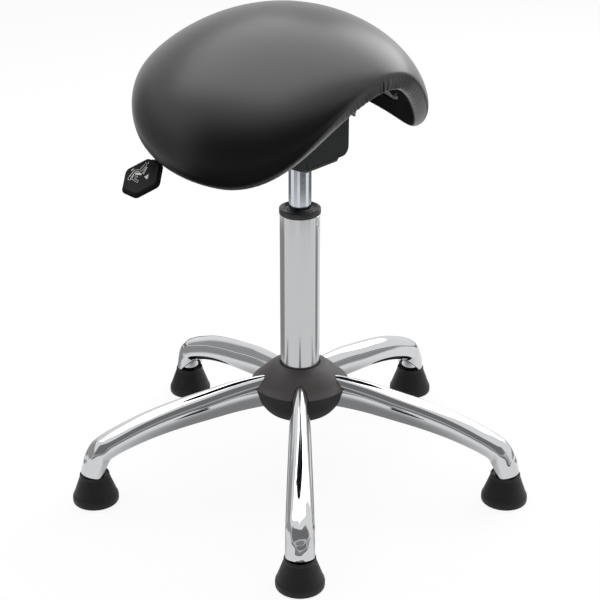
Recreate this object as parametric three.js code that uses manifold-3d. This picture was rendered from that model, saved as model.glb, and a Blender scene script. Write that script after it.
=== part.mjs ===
// Saddle stool: a five-legged chromed base on plain glides, a gas spring column,
// a tilting seat mechanism worked by two paddle levers, and an upholstered saddle.
// Millimetres, +Z up. Everything is laid out about the column's axis, and the
// finished stool is then moved so that its origin is on the floor at the middle
// of the footprint. The rider faces -Y, with the right hand on the -X side.
import * as THREE from 'three';
import { mergeVertices } from 'three/addons/utils/BufferGeometryUtils.js';
import Module from 'manifold-3d';

const wasm = await Module();
wasm.setup();

// Driving dimensions of the whole stool
const gap = 0.3;
const overrun = 1;
const weldDistance = 1e-4;
const legCount = 5;
const firstLegAngle = THREE.MathUtils.degToRad(220);
const glideCircle = 271.5;
const seatCrown = 582;
const mechanismDrop = 163;

// The glides, their threaded stems and the sleeves welded into the leg ends
const glide = {
  height: 38.8, footRadius: 28.9, topRadius: 18.4, bandHeight: 9.5, bandTaper: 0.5,
  footRound: 1.6, lip: 1.6, dishDepth: 1.8, heelRadius: 21, heelDepth: 1.5, sides: 18,
};
const stem = { radius: 5, seatHeight: 11, rise: 18, pointLength: 1.5, sides: 8 };
const sleeve = { radius: 12.8, length: 12.6, sides: 16 };

// The legs: an oval steel tube, tall at the hub, round at the foot
const leg = {
  wall: 2, rootHeight: 119.8, rootDepth: 43.6, footWidth: 34.6,
  notchSlope: 1.1, notchInset: 3.4, sides: 16, outerRings: 13, innerRings: 8, slotRings: 5,
};
// Each row: distance out and height of the centre line, depth and width of the tube,
// as shares of the glide circle, root height, root depth and foot width
const legShares = [
  [0.1164, 1.000, 1.000, 0.46], [0.215, 0.995, 0.997, 0.62], [0.322, 0.975, 0.975, 0.72],
  [0.460, 0.923, 0.925, 0.79], [0.600, 0.865, 0.875, 0.84], [0.735, 0.790, 0.825, 0.89],
  [0.845, 0.704, 0.765, 0.93], [0.921, 0.630, 0.735, 0.96], [0.967, 0.560, 0.725, 0.98],
  [0.990, 0.440, 0.740, 0.99], [1.000, 0.327, 0.794, 1.00],
];

// The hub: a steel socket for the column under a two-piece moulded cover
const hub = {
  socketLow: 94, socketHigh: 150, socketRadius: 31, wall: 2.4, parting: 113.5,
  collarHeight: 154.5, collarRadius: 27, rimRadius: 57, rimLow: 109, rimHigh: 119,
  bowlLow: 86.5, bowlRadius: 37, floorLip: 29, legClearance: 0.5, sides: 24,
};
// Half outlines of the covers as shares: radius from collar (or bowl) to rim, and height
const domeShares = [[0, 1], [0.17, 0.94], [0.43, 0.76], [0.69, 0.49], [0.90, 0.20], [1, 0]];
const bowlShares = [[0, 0], [0.33, 0.12], [0.70, 0.46], [1, 1]];

// The column: outer tube, guide bush, gas cylinder, piston rod and end fittings
const tube = {
  radius: 25, wall: 2, drop: 63.5, bottom: 96.5, taper: 1.1, taperTop: 150, lip: 2.5, sides: 24,
};
const bush = {
  capRadius: 25.8, capHeight: 7.8, edge: 1.2, ringInset: 3.4, ringDrop: 1.2, length: 68, sides: 24,
};
const cylinder = {
  radius: 14, wall: 2.5, downTravel: 40.4, rise: 45, taper: 0.7, taperLength: 42, endCap: 8,
  valveLength: 72, chamfer: 1, sides: 20,
};
const rod = { radius: 5, headroom: 47, groove: 1, grooveWidth: 1.6, tail: 5, sides: 12 };
const piston = { length: 14, sealGroove: 1, sides: 16 };
const bearing = { outer: 14, inner: 6.5, height: 5, sides: 16 };
const buffer = { outer: 12, inner: 6, height: 12, waist: 1.5, sides: 16 };
const clip = { outer: 8.5, thickness: 1.1, sides: 12 };
const pin = { radius: 3, depth: 12, rise: 6, sides: 10 };

// The tilt mechanism under the seat. Each rise is a height above the casing's underside.
const bracket = {
  baseRise: 2.6, thickness: 3, halfWidth: 35, front: -34, rear: 64, topRise: 65, cornerCut: 14, bend: 6,
};
const socket = { radius: 19, rise: 42 };
const casing = {
  wall: 2.2, height: 68, halfWidth: 46, frontHalf: 35, front: -39, rear: 76, cut: 11,
  bellyHalf: 31, bellyRise: 13, columnHole: 17, notchWidth: 1.4, notchRise: 8,
};
const tilt = { y: -25.5, rise: 36, radius: 5, headRadius: 6.6, headThickness: 2, sides: 12 };
const clamp = {
  y: 38, rise: 36, radius: 4, nutAcross: 13, nutThickness: 5.4, slotDown: 12.4, slotUp: 8.4, sides: 12,
};
const carrier = {
  rise: 114, plate: 4, halfWidth: 50, front: -46, rear: 76, corner: 12, cheek: 3, eye: 10.5, lobe: 19,
  window: 13, cheekFront: -40, cheekRear: 62, flange: 10, shoulderY: -27, shoulderRise: 73,
  holeX: 40.5, holeFront: -31, holeRear: 60,
};
// Where the arcs of the cheek's eye and lobe start and end, as shares of a full turn
const eyeShares = [0.39, 0.75];
const lobeShares = [0.75, 1];
const bolt = { radius: 4, across: 13, head: 5.3, length: 20, sides: 12 };

// The two levers: cranked rods with a hexagonal paddle
const lever = {
  radius: 5, hubRadius: 9, hubLength: 14, exit: 62, sides: 8, steps: 20, paddleLap: 12,
};
// Points on the straight run of a lever, as shares of the way to its first bend
const straightShares = [0.4, 0.8];
const valve = { y: 16, rise: 56, tabThickness: 3, tabWidth: 12, tabReach: 22 };
const paddle = {
  length: 54, width: 46.5, endWidth: 21, thickness: 7.2, corner: 5, bevel: 1.2,
  sweep: -1.2, droop: 30.5, roll: 12.5, socketRadius: 7.5, socketLength: 20, recess: 0.8, border: 4,
};
const tiltPaddle = { x: -183.4, y: 81.4, rise: 9.4 };
const valvePaddle = { x: 175, y: 80, rise: 15 };

// The saddle: an arched shell, a foam pad and a stretched cover
const saddle = {
  frontReach: 136, rearReach: 173, frontSweep: 37, rearSweep: 4, ahead: 120, behind: 150,
  fall: 14, bend: 42, rise: 4, archAngle: 1.3, thickness: 49, frontCorner: 6, rearCorner: 3.9,
  rimRound: 2.6, cover: 1.6, shell: 9, rimReach: 150, sides: 36,
};
const saddleHalfWidth = { rear: 130, middle: 182, front: 101 };
const saddleDrop = { rear: 58, middle: 139, front: 107 };
const boss = { radius: 11, reach: 40, sides: 14 };
const rib = { thickness: 3, depth: 5.5 };
// Ribs under the shell, as shares of the rim reach off the middle
const lengthwiseRibShares = [-0.6, 0.6];
const crosswiseRibShares = [-0.45, 0.1, 0.65];
// Rings of the pad from the middle to the rim, as shares of the way out
const topShares = [0.24, 0.45, 0.63, 0.78, 0.89, 0.96];
const underShares = [0.97, 0.93, 0.90, 0.80];
const shellShares = [0.24, 0.45, 0.63, 0.80, 0.90];

// Heights above the floor of all that the crown of the seat carries with it
const casingLow = seatCrown - mechanismDrop;
const casingTop = casingLow + casing.height;
const bracketLow = casingLow + bracket.baseRise;
const bracketTop = casingLow + bracket.topRise;
const socketTop = casingLow + socket.rise;
const tiltZ = casingLow + tilt.rise;
const clampZ = casingLow + clamp.rise;
const valveZ = casingLow + valve.rise;
const carrierTop = casingLow + carrier.rise;
const cylinderTop = casingLow + cylinder.rise;
const hollowTop = cylinderTop - cylinder.valveLength;
const rodTop = hollowTop - rod.headroom;
const tubeTop = casingLow - tube.drop;
const capTop = tubeTop + bush.capHeight;

// Materials: colour, roughness and metalness as seen
const finish = (color, roughness, metalness) =>
  new THREE.MeshStandardMaterial({ color, roughness, metalness });
const chrome = () => finish(0xd8dadc, 0.08, 1);
const steel = () => finish(0x9a9c9e, 0.4, 0.9);
const blackSteel = () => finish(0x1c1c1d, 0.45, 0.6);
const hubPlastic = () => finish(0x3b3736, 0.6, 0);
const blackPlastic = () => finish(0x1c1b1c, 0.5, 0);
const greyPlastic = () => finish(0x3a3c3c, 0.55, 0);
const leatherette = () => finish(0x141415, 0.42, 0);
const foamFinish = () => finish(0xd9cfa8, 0.95, 0);
const rubber = () => finish(0x111111, 0.9, 0);
const brass = () => finish(0xb59a55, 0.35, 0.9);

// Geometry helpers

/** A closed geometry as a solid that can be joined and cut. */
function toSolid(geometry) {
  const bare = geometry.clone();
  bare.deleteAttribute('normal');
  bare.deleteAttribute('uv');
  const merged = mergeVertices(bare, weldDistance);
  return new wasm.Manifold(new wasm.Mesh({
    numProp: 3,
    vertProperties: new Float32Array(merged.attributes.position.array),
    triVerts: new Uint32Array(merged.index.array),
  }));
}

/** The solid as a geometry again. */
function toGeometry(solid) {
  const mesh = solid.getMesh();
  const geometry = new THREE.BufferGeometry();
  geometry.setAttribute('position', new THREE.BufferAttribute(mesh.vertProperties, 3));
  geometry.setIndex(new THREE.BufferAttribute(mesh.triVerts, 1));
  return geometry;
}

/** Six times the volume that a triangle spans with the origin, summed over the geometry. */
function signedVolume(position, index) {
  const corner = [new THREE.Vector3(), new THREE.Vector3(), new THREE.Vector3()];
  let sum = 0;
  for (let i = 0; i < index.count; i += 3) {
    corner.forEach((p, k) => p.fromBufferAttribute(position, index.getX(i + k)));
    sum += corner[0].dot(corner[1].cross(corner[2]));
  }
  return sum;
}

/** Turns every triangle over if the closed geometry is inside out. */
function outward(geometry) {
  const merged = geometry.index ? geometry : mergeVertices(geometry, weldDistance);
  const index = merged.index;
  if (signedVolume(merged.attributes.position, index) < 0) {
    for (let i = 0; i < index.count; i += 3) {
      const first = index.getX(i);
      index.setX(i, index.getX(i + 2));
      index.setX(i + 2, first);
    }
  }
  return merged;
}

/** A round piece about Z from [radius, height] points that start and end on the axis or close. */
function revolve(points, sides) {
  const profile = points.map(([r, z]) => new THREE.Vector2(r, z));
  const geometry = new THREE.LatheGeometry(profile, sides);
  geometry.rotateX(Math.PI / 2);
  return outward(geometry);
}

/** A washer or sleeve about Z. */
function ring(inner, outer, low, high, sides) {
  return revolve([[inner, low], [outer, low], [outer, high], [inner, high], [inner, low]], sides);
}

/** A plain round bar about Z. */
function bar(radius, low, high, sides) {
  return revolve([[0, low], [radius, low], [radius, high], [0, high]], sides);
}

/** A bar along X, at y and z. */
function crossBar(radius, from, to, y, z, sides) {
  const geometry = bar(radius, from, to, sides);
  geometry.rotateY(Math.PI / 2);
  geometry.translate(0, y, z);
  return geometry;
}

/** A flat outline pulled up from one height to another. */
function prism(points, low, high) {
  const shape = new THREE.Shape(points.map(([x, y]) => new THREE.Vector2(x, y)));
  const geometry = new THREE.ExtrudeGeometry(shape, { depth: high - low, bevelEnabled: false });
  geometry.translate(0, 0, low);
  return outward(geometry);
}

/** An outline in Y and Z pulled along X. */
function sidePrism(points, from, to) {
  const geometry = prism(points, from, to);
  geometry.rotateX(Math.PI / 2);
  geometry.rotateZ(Math.PI / 2);
  return geometry;
}

/** An outline in X and Z pulled along Y. */
function frontPrism(points, from, to) {
  const geometry = prism(points, -to, -from);
  geometry.rotateX(Math.PI / 2);
  return geometry;
}

/** A hexagon prism along Z, measured across its flats. */
function hexagon(across, low, high) {
  return bar(across / Math.sqrt(3), low, high, 6);
}

/** A block between two corners. */
function block(low, high) {
  return prism([[low[0], low[1]], [high[0], low[1]], [high[0], high[1]], [low[0], high[1]]], low[2], high[2]);
}

/** How wide a ring of points is. */
const spread = (points) => points[0].distanceTo(points[Math.floor(points.length / 2)]);

/**
 * Closed skin through rings of points. A ring of one point is a pole; a loop joins last to first.
 * Facets are split from the wider ring to the narrower one, so that nested layers stay parallel
 * whichever way their rings are listed.
 */
function skin(rings, isLoop = false) {
  const vertices = [];
  const starts = rings.map((points) => {
    const start = vertices.length / 3;
    points.forEach((p) => vertices.push(p.x, p.y, p.z));
    return start;
  });
  const triangles = [];
  const last = isLoop ? rings.length : rings.length - 1;
  for (let r = 0; r < last; r += 1) {
    const next = (r + 1) % rings.length;
    const count = Math.max(rings[r].length, rings[next].length);
    const at = (which, i) => starts[which] + (i % rings[which].length);
    const lean = spread(rings[next]) > spread(rings[r]) ? 0 : 1;
    for (let i = 0; i < count; i += 1) {
      if (rings[r].length > 1) triangles.push(at(r, i), at(r, i + 1), at(next, i + lean));
      if (rings[next].length > 1) triangles.push(at(r, i + 1 - lean), at(next, i + 1), at(next, i));
    }
  }
  const geometry = new THREE.BufferGeometry();
  geometry.setAttribute('position', new THREE.Float32BufferAttribute(vertices, 3));
  geometry.setIndex(triangles);
  return outward(geometry);
}

/** Joins geometries into one. */
function join(...geometries) {
  return toGeometry(geometries.map(toSolid).reduce((sum, next) => sum.add(next)));
}

/** Cuts the later geometries out of the first. */
function cut(body, ...tools) {
  return toGeometry(tools.map(toSolid).reduce((rest, next) => rest.subtract(next), toSolid(body)));
}

/** What two geometries share. */
function common(first, second) {
  return toGeometry(toSolid(first).intersect(toSolid(second)));
}

/** A copy turned about Z. */
function turned(geometry, angle) {
  return geometry.clone().rotateZ(angle);
}

const stool = new THREE.Group();

/** Adds a named piece to a group. */
function add(name, geometry, material, parent = stool) {
  const piece = new THREE.Mesh(geometry, material);
  piece.name = name;
  parent.add(piece);
}

const legAngle = (index) => firstLegAngle + (index * 2 * Math.PI) / legCount;

// Legs, sleeves, stems and glides, each set made once and turned round the column

const legPath = new THREE.CatmullRomCurve3(legShares.map(([out, up]) =>
  new THREE.Vector3(out * glideCircle, 0, up * leg.rootHeight)));
const legSize = new THREE.CatmullRomCurve3(legShares.map(([, , deep, wide]) =>
  new THREE.Vector3(deep * leg.rootDepth, wide * leg.footWidth, 0)));

/** One oval ring of the leg, drawn in by a wall and let out by an offset beyond it. */
function legRing(share, inset) {
  const centre = legPath.getPoint(share);
  const size = legSize.getPoint(share);
  const along = share < 1 ? legPath.getTangent(share) : new THREE.Vector3(0, 0, -1);
  const up = new THREE.Vector3(0, 1, 0).cross(along).negate();
  return Array.from({ length: leg.sides }, (_, i) => {
    const angle = (2 * Math.PI * i) / leg.sides;
    return centre.clone()
      .addScaledVector(up, (size.x / 2 - inset) * Math.cos(angle))
      .add(new THREE.Vector3(0, (size.y / 2 - inset) * Math.sin(angle), 0));
  });
}

/** The rings of one skin of the leg, from the hub to the foot. */
function legRings(count, inset) {
  return Array.from({ length: count }, (_, i) => legRing(i / (count - 1), inset));
}

/** The tube of one leg, pointing along +X, with its end notched on the inner side. */
function legGeometry() {
  const outer = legRings(leg.outerRings, 0);
  const inner = legRings(leg.innerRings, leg.wall);
  const pipe = skin([...outer, ...inner.reverse()], true);
  const footZ = glide.height + gap;
  const notchX = glideCircle - leg.notchInset;
  const notchTop = glideCircle - glide.footRadius;
  const notch = frontPrism([
    [notchX, footZ], [notchX - leg.footWidth / 2, footZ + leg.notchSlope * leg.footWidth / 2],
    [notchTop - leg.footWidth, footZ + leg.notchSlope * leg.footWidth / 2], [notchTop - leg.footWidth, 0],
    [notchX, 0],
  ], -leg.footWidth, leg.footWidth);
  const trim = block(
    [glideCircle - leg.footWidth, -leg.footWidth, 0], [glideCircle + leg.footWidth, leg.footWidth, footZ]);
  const pocket = bar(sleeve.radius + gap, 0, footZ + sleeve.length + gap, sleeve.sides);
  pocket.translate(glideCircle, 0, 0);
  return cut(pipe, notch, trim, pocket);
}

/** The foot of one leg: a cone with a rolled band, a dished top and a hollow heel. */
function glideGeometry() {
  const g = glide;
  const body = revolve([
    [0, g.heelDepth], [g.heelRadius, g.heelDepth], [g.heelRadius + g.heelDepth, 0],
    [g.footRadius - g.footRound, 0], [g.footRadius, g.footRound], [g.footRadius - g.bandTaper, g.bandHeight],
    [g.topRadius, g.height - g.lip], [g.topRadius - g.lip / 2, g.height],
    [g.topRadius - g.lip, g.height - g.lip / 2], [g.topRadius - g.lip, g.height - g.dishDepth],
    [0, g.height - g.dishDepth],
  ], g.sides);
  return cut(body, bar(stem.radius + gap, stem.seatHeight, g.height + overrun, stem.sides));
}

/** The threaded stud moulded into the glide. */
function stemGeometry() {
  const top = glide.height + stem.rise;
  return revolve([
    [0, stem.seatHeight + gap], [stem.radius, stem.seatHeight + gap],
    [stem.radius, top - stem.pointLength], [stem.radius - stem.pointLength, top], [0, top],
  ], stem.sides);
}

for (let i = 0; i < legCount; i += 1) {
  const arm = new THREE.Group();
  arm.rotation.z = legAngle(i);
  stool.add(arm);
  add(`leg_${i + 1}`, legGeometry(), chrome(), arm);
  const foot = new THREE.Group();
  foot.position.x = glideCircle;
  arm.add(foot);
  add(`foot_sleeve_${i + 1}`, ring(stem.radius + 2 * gap, sleeve.radius,
    glide.height + gap, glide.height + gap + sleeve.length, sleeve.sides), chrome(), foot);
  add(`glide_stem_${i + 1}`, stemGeometry(), steel(), foot);
  add(`glide_${i + 1}`, glideGeometry(), blackPlastic(), foot);
}

// Hub: the column socket and the two halves of its cover

/** The legs as solid ovals a little larger than the tubes, to cut their slots. */
function legCutters() {
  const near = legRings(leg.outerRings, -hub.legClearance).slice(0, leg.slotRings);
  const one = skin([[legPath.getPoint(0)], ...near, [legPath.getPoint(leg.slotRings / leg.outerRings)]]);
  return Array.from({ length: legCount }, (_, i) => turned(one, legAngle(i)));
}

/** Radius of the tapered column socket at a height. */
const taperRadius = (z) => tube.radius - tube.taper * (tube.taperTop - z) / (tube.taperTop - tube.bottom);

add('hub_core', revolve([
  [taperRadius(hub.socketLow) + gap, hub.socketLow], [hub.socketRadius, hub.socketLow],
  [hub.socketRadius, hub.socketHigh], [tube.radius + gap, hub.socketHigh],
  [taperRadius(hub.socketLow) + gap, hub.socketLow],
], tube.sides), steel());

/** The dome over the hub, slotted where the legs come out. */
function hubTop() {
  const spread = hub.rimRadius - hub.collarRadius;
  const rise = hub.collarHeight - hub.rimHigh;
  const outer = domeShares.map(([out, up]) => [hub.collarRadius + out * spread, hub.rimHigh + up * rise]);
  const inner = domeShares.slice(1).map(([out, up]) =>
    [hub.collarRadius + out * spread - hub.wall, hub.rimHigh + up * rise - hub.wall]).reverse();
  const shell = revolve([
    ...outer, [hub.rimRadius, hub.parting + gap], [hub.rimRadius - hub.wall, hub.parting + gap],
    ...inner, [tube.radius + gap, hub.collarHeight - 2 * hub.wall],
    [tube.radius + gap, hub.collarHeight - gap],
    outer[0],
  ], hub.sides);
  return cut(shell, ...legCutters(), bar(hub.socketRadius + gap, 0, hub.socketHigh + gap, tube.sides));
}

/** The bowl under the hub. */
function hubBottom() {
  const spread = hub.rimRadius - hub.bowlRadius;
  const rise = hub.rimLow - hub.bowlLow;
  const outer = bowlShares.map(([out, up]) => [hub.bowlRadius + out * spread, hub.bowlLow + up * rise]);
  const inner = bowlShares.map(([out, up]) =>
    [hub.bowlRadius + out * spread - hub.wall, hub.bowlLow + up * rise + hub.wall]).reverse();
  const shell = revolve([
    [hub.floorLip, hub.bowlLow], ...outer, [hub.rimRadius, hub.parting],
    [hub.rimRadius - hub.wall, hub.parting], ...inner,
    [hub.floorLip, hub.bowlLow + hub.wall], [hub.floorLip, hub.bowlLow],
  ], hub.sides);
  return cut(shell, ...legCutters());
}

add('hub_cover_upper', hubTop(), hubPlastic());
add('hub_cover_lower', hubBottom(), hubPlastic());

// Column: outer tube with a taper at its foot and a bottom plate with a hole for the rod

const plateTop = tube.bottom + tube.lip;
const tubeInner = tube.radius - tube.wall;
add('outer_tube', revolve([
  [rod.radius + gap, tube.bottom], [taperRadius(tube.bottom), tube.bottom], [tube.radius, tube.taperTop],
  [tube.radius, tubeTop], [tubeInner, tubeTop], [tubeInner, tube.taperTop],
  [taperRadius(tube.bottom) - tube.wall, plateTop], [rod.radius + gap, plateTop],
  [rod.radius + gap, tube.bottom],
], tube.sides), chrome());

/** The guide bush: a long sleeve inside the tube with a rounded cap on its end. */
function bushGeometry() {
  const bore = cylinder.radius + gap;
  const b = bush;
  return revolve([
    [bore, tubeTop - b.length], [tubeInner - gap, tubeTop - b.length], [tubeInner - gap, tubeTop + gap],
    [b.capRadius, tubeTop + gap], [b.capRadius, capTop - b.edge], [b.capRadius - b.edge, capTop],
    [b.capRadius - b.ringInset, capTop], [b.capRadius - b.ringInset - b.ringDrop, capTop - b.ringDrop],
    [bore, capTop - b.ringDrop], [bore, tubeTop - b.length],
  ], b.sides);
}

add('guide_bush', bushGeometry(), blackPlastic());
add('thrust_bearing', ring(bearing.inner, bearing.outer, plateTop + gap, plateTop + gap + bearing.height,
  bearing.sides), steel());
const bufferLow = plateTop + 2 * gap + bearing.height;
const bufferTop = bufferLow + buffer.height;
add('rubber_buffer', revolve([
  [buffer.inner, bufferLow], [buffer.outer, bufferLow],
  [buffer.outer - buffer.waist, bufferLow + buffer.height / 2], [buffer.outer, bufferTop],
  [buffer.inner, bufferTop], [buffer.inner, bufferLow],
], buffer.sides), rubber());

// Piston rod, held under the bottom plate by a clip in its groove
const clipTop = tube.bottom - gap;
const clipLow = clipTop - clip.thickness;
add('piston_rod', revolve([
  [0, clipLow - rod.tail], [rod.radius, clipLow - rod.tail], [rod.radius, clipLow - gap],
  [rod.radius - rod.groove, clipLow - gap], [rod.radius - rod.groove, clipLow - gap + rod.grooveWidth],
  [rod.radius, clipLow - gap + rod.grooveWidth], [rod.radius, rodTop], [0, rodTop],
], rod.sides), chrome());
add('retaining_clip',
  ring(rod.radius - rod.groove + gap, clip.outer, clipLow, clipTop, clip.sides), blackSteel());

/** The piston on the end of the rod, with a seal groove round it. */
function pistonGeometry() {
  const wide = cylinder.radius - cylinder.wall - gap;
  const low = rodTop - piston.length;
  const third = piston.length / 3;
  const body = revolve([
    [0, low], [wide, low], [wide, low + third], [wide - piston.sealGroove, low + third],
    [wide - piston.sealGroove, low + 2 * third], [wide, low + 2 * third], [wide, rodTop + third],
    [0, rodTop + third],
  ], piston.sides);
  return cut(body, bar(rod.radius + gap, low - overrun, rodTop + gap, rod.sides));
}

add('piston_head', pistonGeometry(), steel());

/** The gas cylinder: bored for the rod below, hollow inside, tapered at the top round the valve. */
function cylinderGeometry() {
  const c = cylinder;
  const topRadius = c.radius - c.taper;
  const low = bufferTop + c.downTravel;
  const pocket = cylinderTop - pin.depth - pin.radius - gap;
  return revolve([
    [0, hollowTop], [c.radius - c.wall, hollowTop], [c.radius - c.wall, low + c.endCap],
    [rod.radius + gap, low + c.endCap], [rod.radius + gap, low], [c.radius - c.chamfer, low],
    [c.radius, low + c.chamfer], [c.radius, cylinderTop - c.taperLength],
    [topRadius, cylinderTop - c.chamfer], [topRadius - c.chamfer, cylinderTop],
    [pin.radius + gap, cylinderTop], [pin.radius + gap, pocket], [0, pocket],
  ], c.sides);
}

add('gas_cylinder', cylinderGeometry(), chrome());
add('valve_pin', bar(pin.radius, cylinderTop - pin.depth, cylinderTop + pin.rise, pin.sides), brass());

// Tilt mechanism: cone socket, lower bracket, casing, shaft and clamp

/** Radius of the cylinder's tapered end at a height. */
function coneRadius(z) {
  const up = Math.max(0, z - (cylinderTop - cylinder.taperLength));
  return cylinder.radius - (cylinder.taper * up) / (cylinder.taperLength - cylinder.chamfer);
}

add('cone_socket', revolve([
  [coneRadius(bracketLow) + gap, bracketLow], [socket.radius, bracketLow], [socket.radius, socketTop],
  [coneRadius(socketTop) + gap, socketTop], [coneRadius(bracketLow) + gap, bracketLow],
], cylinder.sides), blackSteel());

/** The folded steel channel that sits on the column and carries the shafts. */
function bracketGeometry() {
  const b = bracket;
  const low = bracketLow;
  const top = bracketTop;
  const side = [[b.front, low], [b.rear - b.cornerCut, low], [b.rear, low + b.cornerCut],
    [b.rear, top - b.cornerCut], [b.rear - b.cornerCut, top], [b.front + b.cornerCut, top],
    [b.front, top - b.cornerCut]];
  const wide = b.halfWidth;
  const innerBend = b.bend + b.thickness * (Math.SQRT2 - 1);
  const fold = frontPrism([
    [-wide, top], [-wide, low + b.bend], [-wide + b.bend, low], [wide - b.bend, low],
    [wide, low + b.bend], [wide, top], [wide - b.thickness, top],
    [wide - b.thickness, low + innerBend], [wide - innerBend, low + b.thickness],
    [-wide + innerBend, low + b.thickness], [-wide + b.thickness, low + innerBend],
    [-wide + b.thickness, top]], b.front, b.rear);
  const channel = common(sidePrism(side, -wide, wide), fold);
  const reach = b.halfWidth + overrun;
  return cut(channel,
    bar(socket.radius + gap, 0, top, cylinder.sides),
    crossBar(tilt.radius + gap, -reach, reach, tilt.y, tiltZ, tilt.sides),
    crossBar(clamp.radius + gap, -reach, reach, clamp.y, clampZ, clamp.sides),
    crossBar(lever.radius + gap, 0, reach, valve.y, valveZ, lever.sides));
}

add('lower_bracket', bracketGeometry(), blackSteel());

/** Outline of the casing seen from above, drawn in by a wall. */
function casingPlan(inset) {
  const c = casing;
  const wide = c.halfWidth - inset;
  const front = c.front + inset;
  const rear = c.rear - inset;
  const flat = c.frontHalf - inset / 2;
  return [[-flat, front], [flat, front], [wide, front + c.cut], [wide, rear - c.cut],
    [flat, rear], [-flat, rear], [-wide, rear - c.cut], [-wide, front + c.cut]];
}

/** Outline of the casing seen from the front, with its turned-up belly. */
function casingFace(inset, top) {
  const c = casing;
  const wide = c.halfWidth - inset;
  const low = casingLow + inset;
  const belly = c.bellyHalf - inset / 2;
  const middle = (wide + belly) / 2;
  const bulge = (wide - belly) / 4;
  return [[-belly, low], [belly, low], [middle + bulge, low + c.bellyRise / 3],
    [wide, low + c.bellyRise], [wide, top], [-wide, top], [-wide, low + c.bellyRise],
    [-middle - bulge, low + c.bellyRise / 3]];
}

/** The moulded casing round the lower bracket, open at the top. */
function casingGeometry() {
  const c = casing;
  const outer = common(prism(casingPlan(0), casingLow, casingTop),
    frontPrism(casingFace(0, casingTop), c.front, c.rear));
  const inner = common(prism(casingPlan(c.wall), casingLow + c.wall, casingTop + overrun),
    frontPrism(casingFace(c.wall, casingTop + overrun), c.front, c.rear));
  const notch = (side) => {
    const geometry = block([-c.notchWidth / 2, c.front - overrun, casingLow - overrun],
      [c.notchWidth / 2, c.front + c.wall + overrun, casingLow + c.notchRise]);
    geometry.translate(side * (c.bellyHalf - c.notchWidth), 0, 0);
    return geometry;
  };
  return cut(outer, inner,
    bar(c.columnHole, 0, casingTop, cylinder.sides),
    crossBar(lever.radius + 2 * gap, 0, c.halfWidth + overrun, valve.y, valveZ, lever.sides),
    crossBar(lever.hubRadius + 2 * gap, -c.halfWidth - overrun, -bracket.halfWidth,
      clamp.y, clampZ, clamp.sides),
    notch(-1), notch(1));
}

add('mechanism_casing', casingGeometry(), greyPlastic());

const shaftEnd = bracket.halfWidth + gap;
const shaftTip = shaftEnd + tilt.headThickness;
add('tilt_shaft', join(
  crossBar(tilt.radius, -shaftTip, shaftTip, tilt.y, tiltZ, tilt.sides),
  crossBar(tilt.headRadius, -shaftTip, -shaftEnd, tilt.y, tiltZ, tilt.sides),
  crossBar(tilt.headRadius, shaftEnd, shaftTip, tilt.y, tiltZ, tilt.sides)), steel());

const clampLeft = -bracket.halfWidth - lever.hubLength + 2 * tilt.headThickness;
add('clamp_bolt', join(
  crossBar(clamp.radius, clampLeft, shaftEnd, clamp.y, clampZ, clamp.sides),
  hexagon(clamp.nutAcross, shaftEnd, shaftEnd + clamp.nutThickness)
    .rotateY(Math.PI / 2).translate(0, clamp.y, clampZ)), steel());

// Seat carrier: a steel plate with two cheeks that swing on the tilt shaft

const cheekOuter = bracket.halfWidth - bracket.thickness - gap;
const cheekInner = cheekOuter - carrier.cheek;
const clampArm = new THREE.Vector2(clamp.y - tilt.y, clampZ - tiltZ);

/** Points of an arc in Y and Z about a centre, from one angle to another. */
function arc(y, z, radius, from, to, count) {
  return Array.from({ length: count + 1 }, (_, i) => {
    const angle = from + ((to - from) * i) / count;
    return [y + radius * Math.cos(angle), z + radius * Math.sin(angle)];
  });
}

/** The curved slot that the clamp bolt rides in, centred on the tilt shaft. */
function clampSlot() {
  const radius = clampArm.length();
  const half = clamp.radius + gap;
  const middle = clampArm.angle();
  const steps = 8;
  const low = middle - THREE.MathUtils.degToRad(clamp.slotDown);
  const high = middle + THREE.MathUtils.degToRad(clamp.slotUp);
  const outline = [...arc(tilt.y, tiltZ, radius + half, low, high, steps),
    ...arc(tilt.y, tiltZ, radius - half, high, low, steps)];
  return sidePrism(outline, -cheekOuter - overrun, cheekOuter + overrun);
}

/** The bolt holes' centres in the carrier plate and the shell's bosses. */
const boltPlaces = [-carrier.holeX, carrier.holeX].flatMap((x) =>
  [carrier.holeFront, carrier.holeRear].map((y) => [x, y]));

/** Flat plate with cut corners, two windowed cheeks and the holes. */
function carrierGeometry() {
  const c = carrier;
  const w = c.halfWidth;
  const n = c.corner;
  const plateLow = carrierTop - c.plate;
  const plate = prism([[-w + n, c.front], [w - n, c.front], [w, c.front + n], [w, c.rear - n],
    [w - n, c.rear], [-w + n, c.rear], [-w, c.rear - n], [-w, c.front + n]], plateLow, carrierTop);
  const arcSteps = 6;
  const shoulderZ = casingLow + c.shoulderRise;
  const [eyeFrom, eyeTo] = eyeShares.map((share) => share * 2 * Math.PI);
  const [lobeFrom, lobeTo] = lobeShares.map((share) => share * 2 * Math.PI);
  const side = [[c.cheekFront, plateLow + c.plate / 2], [c.cheekFront, plateLow - c.flange],
    [c.shoulderY, shoulderZ], ...arc(tilt.y, tiltZ, c.eye, eyeFrom, eyeTo, arcSteps),
    ...arc(clamp.y, clampZ, c.lobe, lobeFrom, lobeTo, arcSteps),
    [c.cheekRear, plateLow - c.flange], [c.cheekRear, plateLow + c.plate / 2]];
  const cheeks = cut(sidePrism(side, -cheekOuter, cheekOuter),
    sidePrism([[c.front, 0], [c.rear, 0], [c.rear, plateLow], [c.front, plateLow]], -cheekInner, cheekInner));
  const holes = boltPlaces.map(([x, y]) =>
    bar(bolt.radius + gap, plateLow - overrun, carrierTop + overrun, bolt.sides).translate(x, y, 0));
  return cut(join(plate, cheeks), clampSlot(),
    crossBar(tilt.radius + gap, -w, w, tilt.y, tiltZ, tilt.sides),
    crossBar(c.window, -w, w, valve.y, valveZ, tilt.sides), ...holes);
}

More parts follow.
